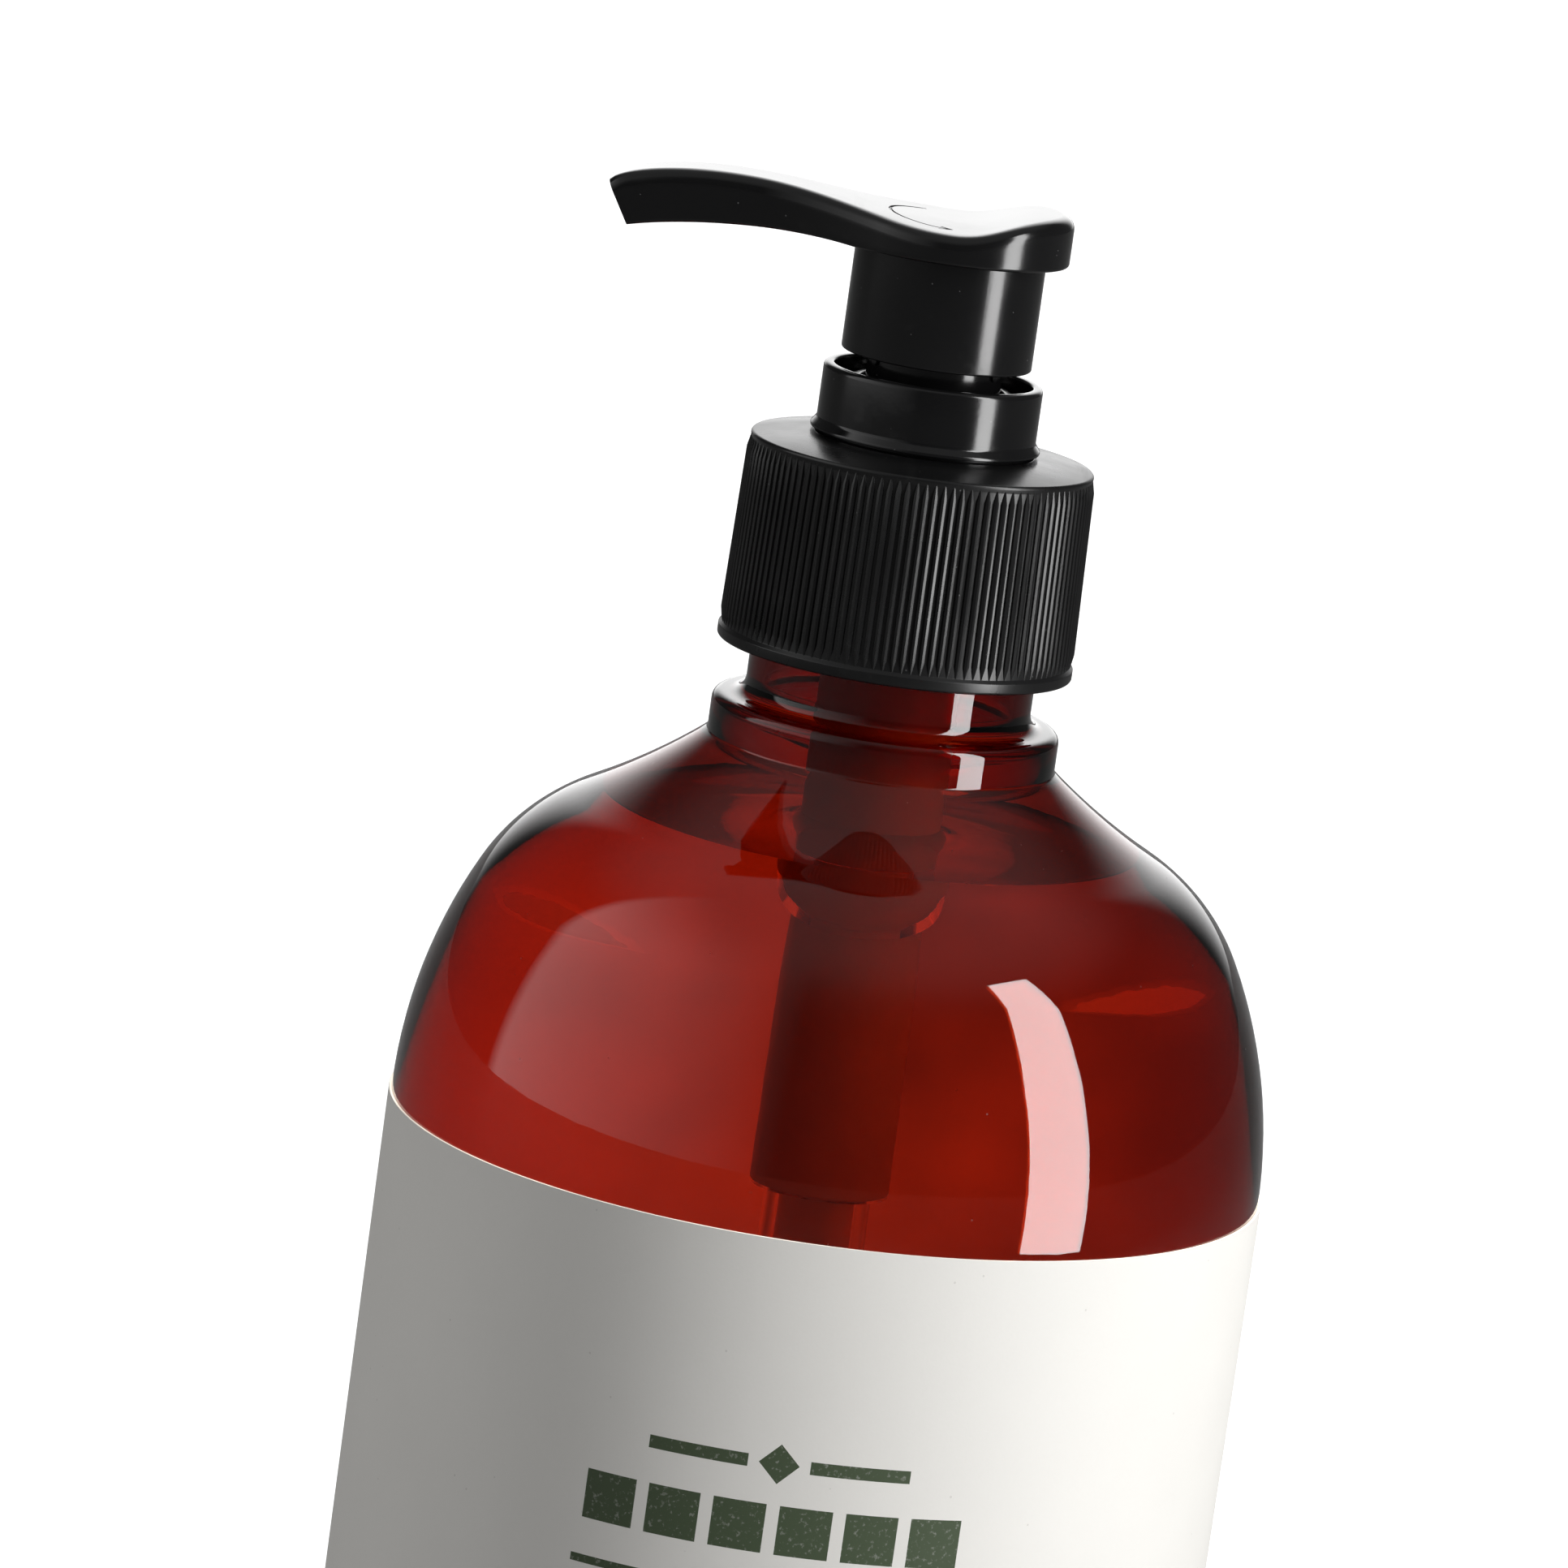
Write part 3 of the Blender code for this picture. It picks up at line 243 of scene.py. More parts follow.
def turned_tree():
    """Turns a profile, drawn as a line of points (radius, 0, height), round Z."""
    tree, entry, exit_node = new_tree("Turned shell", 'GeometryNodeTree', [
        ("Profile", 'NodeSocketGeometry', None),
        ("Steps", 'NodeSocketInt', 64),
        ("Material", 'NodeSocketMaterial', None),
    ], [("Geometry", 'NodeSocketGeometry')])
    profile, steps = entry.outputs["Profile"], entry.outputs["Steps"]
    size = add_node(tree, "GeometryNodeAttributeDomainSize", Geometry=profile)
    across = math_node(tree, 'ADD', steps, 1.0)
    grid = add_node(tree, "GeometryNodeMeshGrid", Vertices_X=size.outputs["Point Count"], Vertices_Y=across)
    index = tree.nodes.new("GeometryNodeInputIndex").outputs[0]
    row = math_node(tree, 'FLOOR', math_node(tree, 'DIVIDE', index, across))
    column = math_node(tree, 'MODULO', index, across)
    place = tree.nodes.new("GeometryNodeInputPosition").outputs[0]
    sample = tree.nodes.new("GeometryNodeSampleIndex")
    sample.data_type = 'FLOAT_VECTOR'
    tree.links.new(profile, sample.inputs["Geometry"])
    tree.links.new(place, sample.inputs["Value"])
    tree.links.new(row, sample.inputs["Index"])
    split = add_node(tree, "ShaderNodeSeparateXYZ", Vector=sample.outputs["Value"])
    turn = math_node(tree, 'DIVIDE', times(tree, column, 2 * pi), steps)
    joined = add_node(
        tree, "ShaderNodeCombineXYZ",
        X=times(tree, split.outputs[0], math_node(tree, 'COSINE', turn)),
        Y=times(tree, split.outputs[0], math_node(tree, 'SINE', turn)),
        Z=split.outputs[2])
    moved = add_node(
        tree, "GeometryNodeSetPosition", Geometry=grid.outputs["Mesh"], Position=joined.outputs[0])
    welded = add_node(
        tree, "GeometryNodeMergeByDistance", Geometry=moved.outputs[0], Distance=0.002 * MM)
    return finish_tree(tree, welded.outputs[0], entry.outputs["Material"], exit_node)


def coil_tree():
    """A round wire wound up Z, whose ends may run out to nothing."""
    tree, entry, exit_node = new_tree("Wound coil", 'GeometryNodeTree', [
        ("Turns", 'NodeSocketFloat', 5.0),
        ("Radius", 'NodeSocketFloat', 0.004),
        ("Low", 'NodeSocketFloat', 0.0),
        ("Rise", 'NodeSocketFloat', 0.02),
        ("Wire Radius", 'NodeSocketFloat', 0.0004),
        ("Run Out", 'NodeSocketFloat', 0.001),
        ("Steps", 'NodeSocketInt', 32),
        ("Sides", 'NodeSocketInt', 10),
        ("Material", 'NodeSocketMaterial', None),
    ], [("Geometry", 'NodeSocketGeometry')])
    inputs = entry.outputs
    spiral = add_node(
        tree, "GeometryNodeCurveSpiral", Resolution=inputs["Steps"], Rotations=inputs["Turns"],
        Start_Radius=inputs["Radius"], End_Radius=inputs["Radius"], Height=inputs["Rise"], Reverse=False)
    lift = add_node(tree, "ShaderNodeCombineXYZ", Z=inputs["Low"])
    raised = add_node(
        tree, "GeometryNodeSetPosition", Geometry=spiral.outputs[0], Offset=lift.outputs[0])
    along = tree.nodes.new("GeometryNodeSplineParameter").outputs["Factor"]
    to_end = math_node(tree, 'MINIMUM', along, math_node(tree, 'SUBTRACT', 1.0, along))
    share = math_node(tree, 'MINIMUM', math_node(tree, 'DIVIDE', to_end, inputs["Run Out"]), 1.0)
    full = math_node(tree, 'MAXIMUM', share, 0.02)
    ring = add_node(
        tree, "GeometryNodeCurvePrimitiveCircle", Resolution=inputs["Sides"], Radius=inputs["Wire Radius"])
    wire = add_node(
        tree, "GeometryNodeCurveToMesh", Curve=raised.outputs[0], Profile_Curve=ring.outputs[0],
        Scale=full, Fill_Caps=True)
    return finish_tree(tree, wire.outputs[0], inputs["Material"], exit_node)


def rib_tree():
    """Round-backed ribs set round Z on a cone, each running out at its two ends."""
    tree, entry, exit_node = new_tree("Grip ribs", 'GeometryNodeTree', [
        ("Count", 'NodeSocketInt', 120),
        ("Low", 'NodeSocketFloat', 0.0),
        ("High", 'NodeSocketFloat', 0.01),
        ("Low Radius", 'NodeSocketFloat', 0.015),
        ("High Radius", 'NodeSocketFloat', 0.015),
        ("Rib Radius", 'NodeSocketFloat', 0.0003),
        ("Material", 'NodeSocketMaterial', None),
    ], [("Geometry", 'NodeSocketGeometry')])
    inputs = entry.outputs
    start = add_node(tree, "ShaderNodeCombineXYZ", X=inputs["Low Radius"], Z=inputs["Low"])
    end = add_node(tree, "ShaderNodeCombineXYZ", X=inputs["High Radius"], Z=inputs["High"])
    line = add_node(
        tree, "GeometryNodeCurvePrimitiveLine", Start=start.outputs[0], End=end.outputs[0])
    spaced = add_node(tree, "GeometryNodeResampleCurve", Curve=line.outputs[0], Count=7)
    along = tree.nodes.new("GeometryNodeSplineParameter").outputs["Factor"]
    spot = add_node(tree, "ShaderNodeMix", data_type='VECTOR')
    tree.links.new(remap(tree, along, 0.0, 1.0, 0.0, 1.0, smooth=True), spot.inputs[0])
    tree.links.new(start.outputs[0], spot.inputs[4])
    tree.links.new(end.outputs[0], spot.inputs[5])
    crowded = add_node(
        tree, "GeometryNodeSetPosition", Geometry=spaced.outputs[0], Position=spot.outputs[1])
    to_end = math_node(tree, 'MINIMUM', along, math_node(tree, 'SUBTRACT', 1.0, along))
    share = math_node(tree, 'MINIMUM', math_node(tree, 'DIVIDE', to_end, 0.06), 1.0)
    swell = math_node(tree, 'SQRT', math_node(tree, 'MAXIMUM', share, 0.05))
    ring = add_node(
        tree, "GeometryNodeCurvePrimitiveCircle", Resolution=8, Radius=inputs["Rib Radius"])
    rib = add_node(
        tree, "GeometryNodeCurveToMesh", Curve=crowded.outputs[0], Profile_Curve=ring.outputs[0],
        Scale=swell, Fill_Caps=True)
    spots = add_node(tree, "GeometryNodePoints", Count=inputs["Count"])
    index = tree.nodes.new("GeometryNodeInputIndex").outputs[0]
    turn = math_node(
        tree, 'DIVIDE', times(tree, index, 2 * pi), inputs["Count"])
    facing = add_node(tree, "ShaderNodeCombineXYZ", Z=turn)
    copies = add_node(
        tree, "GeometryNodeInstanceOnPoints", Points=spots.outputs[0], Instance=rib.outputs[0],
        Rotation=facing.outputs[0])
    return finish_tree(tree, copies.outputs[0], inputs["Material"], exit_node)


# ---------------------------------------------------------------- mesh helpers

def link_mesh(name, mesh):
    """A new object, at the origin, that holds a mesh."""
    obj = bpy.data.objects.new(name, mesh)
    bpy.context.scene.collection.objects.link(obj)
    return obj


def grown(tree, name, values, profile=None):
    """Run a geometry node tree on a new object and keep the result as a plain mesh."""
    mesh = bpy.data.meshes.new(name)
    if profile:
        mesh.from_pydata(
            [(p[0], 0.0, p[1]) for p in profile], [(i, i + 1) for i in range(len(profile) - 1)], [])
    obj = link_mesh(name, mesh)
    step = obj.modifiers.new(tree.name, 'NODES')
    step.node_group = tree
    for item in tree.interface.items_tree:
        if item.item_type == 'SOCKET' and item.in_out == 'INPUT' and item.name in values:
            step[item.identifier] = values[item.name]
    return settle(obj)


def settle(obj):
    """Turn an object with live modifiers into a plain, closed mesh that faces outwards."""
    evaluated = obj.evaluated_get(bpy.context.evaluated_depsgraph_get())
    mesh = bpy.data.meshes.new_from_object(evaluated)
    name = obj.name
    bpy.data.objects.remove(obj, do_unlink=True)
    made = link_mesh(name, mesh)
    made.name = name
    looks = [look for look in mesh.materials if look]
    mesh.materials.clear()
    mesh.materials.append(looks[0])
    mesh.polygons.foreach_set("material_index", [0] * len(mesh.polygons))
    tidy_mesh(made)
    return made


def tidy_mesh(obj):
    """Weld a mesh, face it outwards and shade it smooth up to its sharp edges."""
    edit = bmesh.new()
    edit.from_mesh(obj.data)
    bmesh.ops.remove_doubles(edit, verts=edit.verts, dist=0.0015 * MM)
    bmesh.ops.dissolve_degenerate(edit, edges=edit.edges, dist=0.0005 * MM)
    bmesh.ops.recalc_face_normals(edit, faces=edit.faces)
    edit.to_mesh(obj.data)
    edit.free()
    obj.data.shade_smooth()
    obj.data.set_sharp_from_angle(angle=SHARP_ANGLE)


def turned(name, profile, material, steps, closed=False):
    """A turned piece from its profile."""
    line = list(profile) + [profile[0]] if closed else list(profile)
    tree = bpy.data.node_groups.get("Turned shell") or turned_tree()
    return grown(tree, name, {"Steps": steps, "Material": material}, line)


def combine(target, tools, operation):
    """Join tools to a target, or cut it with them, by exact Booleans."""
    for tool in tools:
        step = target.modifiers.new(tool.name, 'BOOLEAN')
        step.operation = operation
        step.solver = 'EXACT'
        step.object = tool
    made = settle(target)
    for tool in tools:
        bpy.data.objects.remove(tool, do_unlink=True)
    return made


def join_into(target, others):
    """Put the meshes of other objects into a target's mesh, as they lie."""
    edit = bmesh.new()
    edit.from_mesh(target.data)
    for other in others:
        edit.from_mesh(other.data)
        bpy.data.objects.remove(other, do_unlink=True)
    edit.to_mesh(target.data)
    edit.free()
    target.data.set_sharp_from_angle(angle=SHARP_ANGLE)
    return target


def place_piece(obj, body, slot, *nodes):
    """Let a finished piece ride on a body in place of its frame nodes."""
    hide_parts(*nodes)
    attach(obj, body)


def rounded(corners, steps=6):
    """Profile points (r, z) from corners (r, z, fillet), each rounded by an arc of its fillet."""
    points = []
    for index, (radius, height, fillet) in enumerate(corners):
        here = Vector((radius, height))
        if fillet == 0 or index in (0, len(corners) - 1):
            points.append(here)
            continue
        back = Vector(corners[index - 1][:2]) - here
        ahead = Vector(corners[index + 1][:2]) - here
        half_angle = back.angle(ahead) / 2
        reach = min(fillet / tan(half_angle), 0.49 * back.length, 0.49 * ahead.length)
        size = reach * tan(half_angle)
        centre = here + (back.normalized() + ahead.normalized()).normalized() * size / sin(half_angle)
        first = here + back.normalized() * reach - centre
        last = here + ahead.normalized() * reach - centre
        sweep = first.angle_signed(last)
        for step in range(steps + 1):
            points.append(centre + Matrix.Rotation(-sweep * step / steps, 2) @ first)
    return points


def ring_profile(corners, steps=6):
    """Closed profile from corners (r, z, fillet), starting in the middle of its last side."""
    middle = ((corners[0][0] + corners[-1][0]) / 2, (corners[0][1] + corners[-1][1]) / 2, 0)
    return rounded([middle] + corners + [middle], steps)[:-1]


def bezier(start, start_handle, end_handle, end, steps):
    """Points along one cubic curve, without its first point."""
    made = []
    for step in range(1, steps + 1):
        t = step / steps
        weights = ((1 - t) ** 3, 3 * t * (1 - t) ** 2, 3 * t * t * (1 - t), t ** 3)
        corners = (start, start_handle, end_handle, end)
        made.append(sum((Vector(c) * w for c, w in zip(corners, weights)), Vector((0.0, 0.0))))
    return made


def height_at(line, x):
    """Height of a run of points at x."""
    for a, b in zip(line, line[1:]):
        if min(a.x, b.x) <= x <= max(a.x, b.x) and a.x != b.x:
            return a.y + (b.y - a.y) * (x - a.x) / (b.x - a.x)
    return line[-1].y if abs(x - line[-1].x) < abs(x - line[0].x) else line[0].y


# ---------------------------------------------------------------- shader groups

def grain_group():
    """Fine moulded or paper grain, with an uneven value on a larger scale."""
    tree, entry, exit_node = new_tree("Fine grain", 'ShaderNodeTree', [
        ("Grain Scale", 'NodeSocketFloat', 4000.0),
        ("Cloud Scale", 'NodeSocketFloat', 60.0),
    ], [("Grain", 'NodeSocketFloat'), ("Cloud", 'NodeSocketFloat')])
    place = tree.nodes.new("ShaderNodeTexCoord").outputs["Object"]
    grain = add_node(
        tree, "ShaderNodeTexNoise", Vector=place, Scale=entry.outputs["Grain Scale"], Detail=3.0,
        Roughness=0.6)
    cloud = add_node(
        tree, "ShaderNodeTexNoise", Vector=place, Scale=entry.outputs["Cloud Scale"], Detail=4.0,
        Roughness=0.55)
    tree.links.new(grain.outputs["Fac"], exit_node.inputs["Grain"])
    tree.links.new(cloud.outputs["Fac"], exit_node.inputs["Cloud"])
    return tree


def marks_group():
    """Thin rubbed lines from handling, and scattered specks of dust."""
    tree, entry, exit_node = new_tree("Handling marks", 'ShaderNodeTree', [
        ("Line Scale", 'NodeSocketFloat', 120.0),
        ("Speck Scale", 'NodeSocketFloat', 900.0),
        ("Speck Size", 'NodeSocketFloat', 0.12),
    ], [("Lines", 'NodeSocketFloat'), ("Specks", 'NodeSocketFloat')])
    place = tree.nodes.new("ShaderNodeTexCoord").outputs["Object"]
    leaning = add_node(
        tree, "ShaderNodeMapping", Vector=place, Rotation=(0.4, 0.9, 0.3), Scale=(1.0, 0.06, 1.0))
    lines = add_node(
        tree, "ShaderNodeTexNoise", Vector=leaning.outputs[0], Scale=entry.outputs["Line Scale"],
        Detail=6.0, Roughness=0.7)
    thin = remap(tree, lines.outputs["Fac"], 0.60, 0.72, 0.0, 1.0)
    specks = add_node(
        tree, "ShaderNodeTexVoronoi", Vector=place, Scale=entry.outputs["Speck Scale"], Randomness=1.0)
    near = math_node(tree, 'LESS_THAN', specks.outputs["Distance"], entry.outputs["Speck Size"])
    picker = add_node(tree, "ShaderNodeSeparateColor", Color=specks.outputs["Color"])
    rare = math_node(tree, 'GREATER_THAN', picker.outputs[0], 0.93)
    tree.links.new(thin, exit_node.inputs["Lines"])
    tree.links.new(times(tree, near, rare), exit_node.inputs["Specks"])
    return tree


def use_group(tree, maker, name, **values):
    """Place a shared shader group in a material."""
    node = tree.nodes.new("ShaderNodeGroup")
    node.node_tree = bpy.data.node_groups.get(name) or maker()
    for label, value in values.items():
        node.inputs[label.replace("_", " ")].default_value = value
    return node


def fine_grain(tree, grain_scale, cloud_scale):
    """Outputs of the fine grain group: Grain and Cloud."""
    return use_group(tree, grain_group, "Fine grain", Grain_Scale=grain_scale, Cloud_Scale=cloud_scale)


def handling_marks(tree, line_scale, speck_scale, speck_size):
    """Outputs of the handling marks group: Lines and Specks."""
    return use_group(
        tree, marks_group, "Handling marks", Line_Scale=line_scale, Speck_Scale=speck_scale,
        Speck_Size=speck_size)


def clouded(tree, grain, low, high):
    """A value that drifts between two ends with the grain's clouds."""
    return remap(tree, grain.outputs["Cloud"], 0.3, 0.7, low, high)


def bare_material(name, **values):
    """A Principled material with constant sockets set; returns the material, its tree and its shader."""
    made = bpy.data.materials.new(name)
    made.use_nodes = True
    tree = made.node_tree
    shader = tree.nodes["Principled BSDF"]
    for label, value in values.items():
        socket = shader.inputs[label.replace("_", " ")]
        socket.default_value = (*value[:3], 1.0) if hasattr(value, "__len__") else value
    return made, tree, shader


def add_bump(tree, shader, height, distance, strength=1.0, before=None):
    """Bump the shader's normal by a height, over an earlier bump if there is one."""
    bump = add_node(tree, "ShaderNodeBump", Height=height, Distance=distance, Strength=strength)
    if before is not None:
        tree.links.new(before, bump.inputs["Normal"])
    tree.links.new(bump.outputs[0], shader.inputs["Normal"])
    return bump.outputs[0]


# ---------------------------------------------------------------- materials

def once(maker):
    """The material that a maker function makes, made the first time it is asked for."""
    name = maker.__name__
    return bpy.data.materials.get(name) or maker(name)


def amber_plastic_finish(name):
    """Clear amber blown plastic: faint waves from blowing, fine scratches and dust."""
    colours = settings()[1]
    made, tree, shader = bare_material(
        name, Base_Color=(0.93, 0.86, 0.80), Roughness=0.01, IOR=1.5, Transmission_Weight=1.0)
    grain = fine_grain(tree, 350.0, 38.0)
    marks = handling_marks(tree, 70.0, 700.0, 0.06)
    rough = math_node(
        tree, 'MAXIMUM', remap(tree, grain.outputs["Cloud"], 0.35, 0.75, 0.004, 0.02),
        times(tree, marks.outputs["Lines"], 0.06))
    tree.links.new(
        math_node(tree, 'MAXIMUM', rough, times(tree, marks.outputs["Specks"], 0.5)),
        shader.inputs["Roughness"])
    waves = add_bump(tree, shader, grain.outputs["Cloud"], 0.10 * MM, 0.35)
    add_bump(tree, shader, marks.outputs["Lines"], 0.004 * MM, 0.25, waves)
    absorb = add_node(
        tree, "ShaderNodeVolumeAbsorption", Density=colours.amber_depth, Color=(*colours.amber, 1.0))
    tree.links.new(absorb.outputs[0], tree.nodes["Material Output"].inputs["Volume"])
    return made


def clear_soap_finish(name):
    """Clear red-brown liquid soap."""
    colours = settings()[1]
    made, tree, shader = bare_material(
        name, Base_Color=(1.0, 0.97, 0.95), Roughness=0.0, IOR=1.36, Transmission_Weight=1.0)
    grain = fine_grain(tree, 300.0, 30.0)
    add_bump(tree, shader, grain.outputs["Cloud"], 0.05 * MM, 0.15)
    absorb = add_node(
        tree, "ShaderNodeVolumeAbsorption", Density=colours.soap_depth, Color=(*colours.soap, 1.0))
    tree.links.new(absorb.outputs[0], tree.nodes["Material Output"].inputs["Volume"])
    return made


def label_paper_finish(name):
    """Uncoated label stock with fibres, soft clouding and a printed ornament of bars and a diamond."""
    colours = settings()[1]
    made, tree, shader = bare_material(name, Roughness=0.7, Specular_IOR_Level=0.35)
    grain = fine_grain(tree, 2600.0, 45.0)
    marks = handling_marks(tree, 90.0, 900.0, 0.09)
    paper = blend_colours(
        tree, clouded(tree, grain, 0.0, 1.0), tuple(c * 0.965 for c in colours.paper),
        colours.paper)
    paper = blend_colours(
        tree, remap(tree, grain.outputs["Grain"], 0.35, 0.65, 0.0, 0.05), paper, (0.70, 0.68, 0.64))
    paper = blend_colours(
        tree, times(tree, marks.outputs["Specks"], 0.35), paper, (0.45, 0.43, 0.40))
    mask = print_mask(tree)
    worn = times(tree, mask, remap(tree, grain.outputs["Grain"], 0.30, 0.42, 0.80, 1.0))
    tree.links.new(blend_colours(tree, worn, paper, colours.ink), shader.inputs["Base Color"])
    tree.links.new(
        clouded(tree, grain, 0.62, 0.78), shader.inputs["Roughness"])
    soft = add_bump(tree, shader, grain.outputs["Cloud"], 0.25 * MM, 0.35)
    add_bump(tree, shader, grain.outputs["Grain"], 0.012 * MM, 0.6, soft)
    return made


def label_lining_painted_glow(name):
    """Inner face of the label, with a painted glow in place of the daylight that comes through the paper:
    brighter towards the label's top, uneven in soft clouds.
    """
    colours = settings()[1]
    made, tree, shader = bare_material(
        name, Base_Color=colours.paper, Roughness=0.8,
        Emission_Strength=LINING_TOP_GLOW * LINING_TOP_CLOUD)
    grain = fine_grain(tree, 2600.0, 24.0)
    split = add_node(
        tree, "ShaderNodeSeparateXYZ", Vector=tree.nodes.new("ShaderNodeTexCoord").outputs["Object"])
    # Painted glow: faintest at LINING_DARK, full at the label's top
    glow = remap(
        tree, split.outputs[2], LINING_DARK, LABEL_TOP, LINING_LOW_GLOW / LINING_TOP_GLOW, 1.0)
    uneven = remap(
        tree, grain.outputs["Cloud"], 0.38, 0.62, LINING_LOW_CLOUD / LINING_TOP_CLOUD, 1.0,
        smooth=True)
    lit = blend_colours(tree, times(tree, glow, uneven), (0.0, 0.0, 0.0), LINING_GLOW)
    tree.links.new(lit, shader.inputs["Emission Color"])
    add_bump(tree, shader, grain.outputs["Grain"], 0.012 * MM, 0.6)
    return made


def print_mask(tree):
    """Where the label is printed: two rows of plain bars with a diamond between them, on its front."""
    split = add_node(
        tree, "ShaderNodeSeparateXYZ", Vector=tree.nodes.new("ShaderNodeTexCoord").outputs["Object"])
    bearing = math_node(tree, 'ARCTAN2', split.outputs[0], times(tree, split.outputs[1], -1.0))
    across = times(tree, bearing, LABEL_RADIUS)
    height = split.outputs[2]
    total = None
    for level, half_height, half_width, pitch, half_gap in PRINT_ROWS:
        rise = math_node(tree, 'ABSOLUTE', math_node(tree, 'SUBTRACT', height, level))
        in_height = math_node(tree, 'LESS_THAN', rise, half_height)
        in_width = math_node(tree, 'LESS_THAN', math_node(tree, 'ABSOLUTE', across), half_width)
        phase = math_node(tree, 'PINGPONG', math_node(tree, 'ADD', across, 20 * pitch), pitch / 2)
        solid = math_node(tree, 'GREATER_THAN', phase, half_gap)
        row = times(tree, times(tree, in_height, in_width), solid)
        total = row if total is None else math_node(tree, 'MAXIMUM', total, row)
    level, size = PRINT_DIAMOND
    spread = math_node(
        tree, 'ADD', math_node(tree, 'ABSOLUTE', across),
        math_node(tree, 'ABSOLUTE', math_node(tree, 'SUBTRACT', height, level)))
    diamond = math_node(tree, 'LESS_THAN', spread, size)
    front = math_node(tree, 'LESS_THAN', split.outputs[1], 0.0)
    return times(tree, math_node(tree, 'MAXIMUM', total, diamond), front)


def black_plastic(name, rough_low, rough_high, grain_depth, specular):
    """Moulded black plastic: fine texture, rubbed lines, dust, and uneven gloss."""
    colours = settings()[1]
    made, tree, shader = bare_material(name, IOR=1.49, Specular_IOR_Level=specular)
    grain = fine_grain(tree, 2200.0, 90.0)
    marks = handling_marks(tree, 160.0, 1700.0, 0.11)
    dusty = blend_colours(
        tree, times(tree, marks.outputs["Specks"], 0.35), colours.black, (0.25, 0.25, 0.25))
    pale = blend_colours(
        tree, times(tree, marks.outputs["Lines"], 0.12), dusty, (0.06, 0.06, 0.06))
    tree.links.new(pale, shader.inputs["Base Color"])
    rough = remap(tree, grain.outputs["Cloud"], 0.35, 0.70, rough_low, rough_high)
    tree.links.new(
        math_node(tree, 'ADD', rough, times(tree, marks.outputs["Lines"], 0.08)),
        shader.inputs["Roughness"])
    soft = add_bump(tree, shader, grain.outputs["Cloud"], 0.05 * MM, 0.25)
    add_bump(tree, shader, grain.outputs["Grain"], grain_depth, 0.5, soft)
    return made


def black_gloss_finish(name):
    """Glossy black of the head and the collar."""
    return black_plastic(name, 0.10, 0.19, 0.004 * MM, 0.5)


def black_satin_finish(name):
    """Satin black of the screw closure."""
    return black_plastic(name, 0.24, 0.36, 0.012 * MM, 0.45)


def natural_plastic_finish(name):
    """Milky moulding of the pump's inner pieces."""
    colours = settings()[1]
    made, tree, shader = bare_material(name, IOR=1.5)
    grain = fine_grain(tree, 1500.0, 70.0)
    tone = blend_colours(
        tree, clouded(tree, grain, 0.0, 1.0), tuple(c * 0.9 for c in colours.natural),
        colours.natural)
    tree.links.new(tone, shader.inputs["Base Color"])
    tree.links.new(clouded(tree, grain, 0.30, 0.42), shader.inputs["Roughness"])
    add_bump(tree, shader, grain.outputs["Grain"], 0.006 * MM, 0.5)
    return made


def soft_seal_finish(name):
    """Soft moulding of the piston's seal."""
    made, tree, shader = bare_material(name, Roughness=0.5)
    grain = fine_grain(tree, 1800.0, 120.0)
    tree.links.new(
        blend_colours(tree, grain.outputs["Cloud"], (0.74, 0.72, 0.65), (0.84, 0.82, 0.76)),
        shader.inputs["Base Color"])
    add_bump(tree, shader, grain.outputs["Grain"], 0.01 * MM, 0.5)
    return made


def gasket_foam_finish(name):
    """Foamed sealing disc with small closed cells."""
    made, tree, shader = bare_material(name, Roughness=0.85)
    marks = handling_marks(tree, 200.0, 1600.0, 0.3)
    grain = fine_grain(tree, 3500.0, 300.0)
    tree.links.new(
        blend_colours(tree, marks.outputs["Specks"], (0.86, 0.86, 0.84), (0.70, 0.70, 0.68)),
        shader.inputs["Base Color"])
    add_bump(tree, shader, grain.outputs["Grain"], 0.03 * MM, 0.7)
    return made


def spring_steel_finish(name):
    """Drawn stainless wire."""
    made, tree, shader = bare_material(name, Base_Color=(0.62, 0.61, 0.59), Metallic=1.0, Roughness=0.25)
    grain = fine_grain(tree, 3000.0, 200.0)
    tree.links.new(clouded(tree, grain, 0.18, 0.34), shader.inputs["Roughness"])
    add_bump(tree, shader, grain.outputs["Grain"], 0.003 * MM, 0.5)
    return made


def ball_glass_finish(name):
    """Polished glass of the check balls."""
    made, tree, shader = bare_material(
        name, Base_Color=(0.93, 0.96, 0.95), Roughness=0.02, IOR=1.5, Transmission_Weight=1.0)
    grain = fine_grain(tree, 1500.0, 150.0)
    tree.links.new(remap(tree, grain.outputs["Cloud"], 0.4, 0.8, 0.01, 0.06), shader.inputs["Roughness"])
    return made


# ---------------------------------------------------------------- sizes of the pieces

WALL = 0.8 * MM
BASE_WALL = 1.2 * MM
BODY_HEIGHT = LABEL_TOP
SHOULDER_HEIGHT = 34.4 * MM
SHOULDER_ARCS = ((43.5 * MM, 27.3), (17.3 * MM, 34.7), (60.2 * MM, -12.0))
BOTTLE_RADIUS = 37.5 * MM
HEEL_RADIUS = 6.0 * MM
REST_RING_INNER = 25.0 * MM
PUSH_UP = 3.0 * MM
STEP_RADIUS = 14.9 * MM
STEP_HEIGHT = 3.5 * MM
STEP_FILLET = 0.9 * MM
NECK_RADIUS = 12.2 * MM
NECK_BORE = 10.7 * MM
NECK_FILLET = 1.4 * MM
THREAD_DEPTH = 1.5 * MM
THREAD_WIRE = 1.15 * MM
NECK_THREAD_LOW = 146.5 * MM
NECK_THREAD_TURNS = 1.5
CLOSURE_THREAD_LOW = 144.45 * MM
CLOSURE_THREAD_TURNS = 1.25
CLOSURE_THREAD_INSET = 0.6 * MM
CLOSURE_THREAD_WIRE = 0.75 * MM
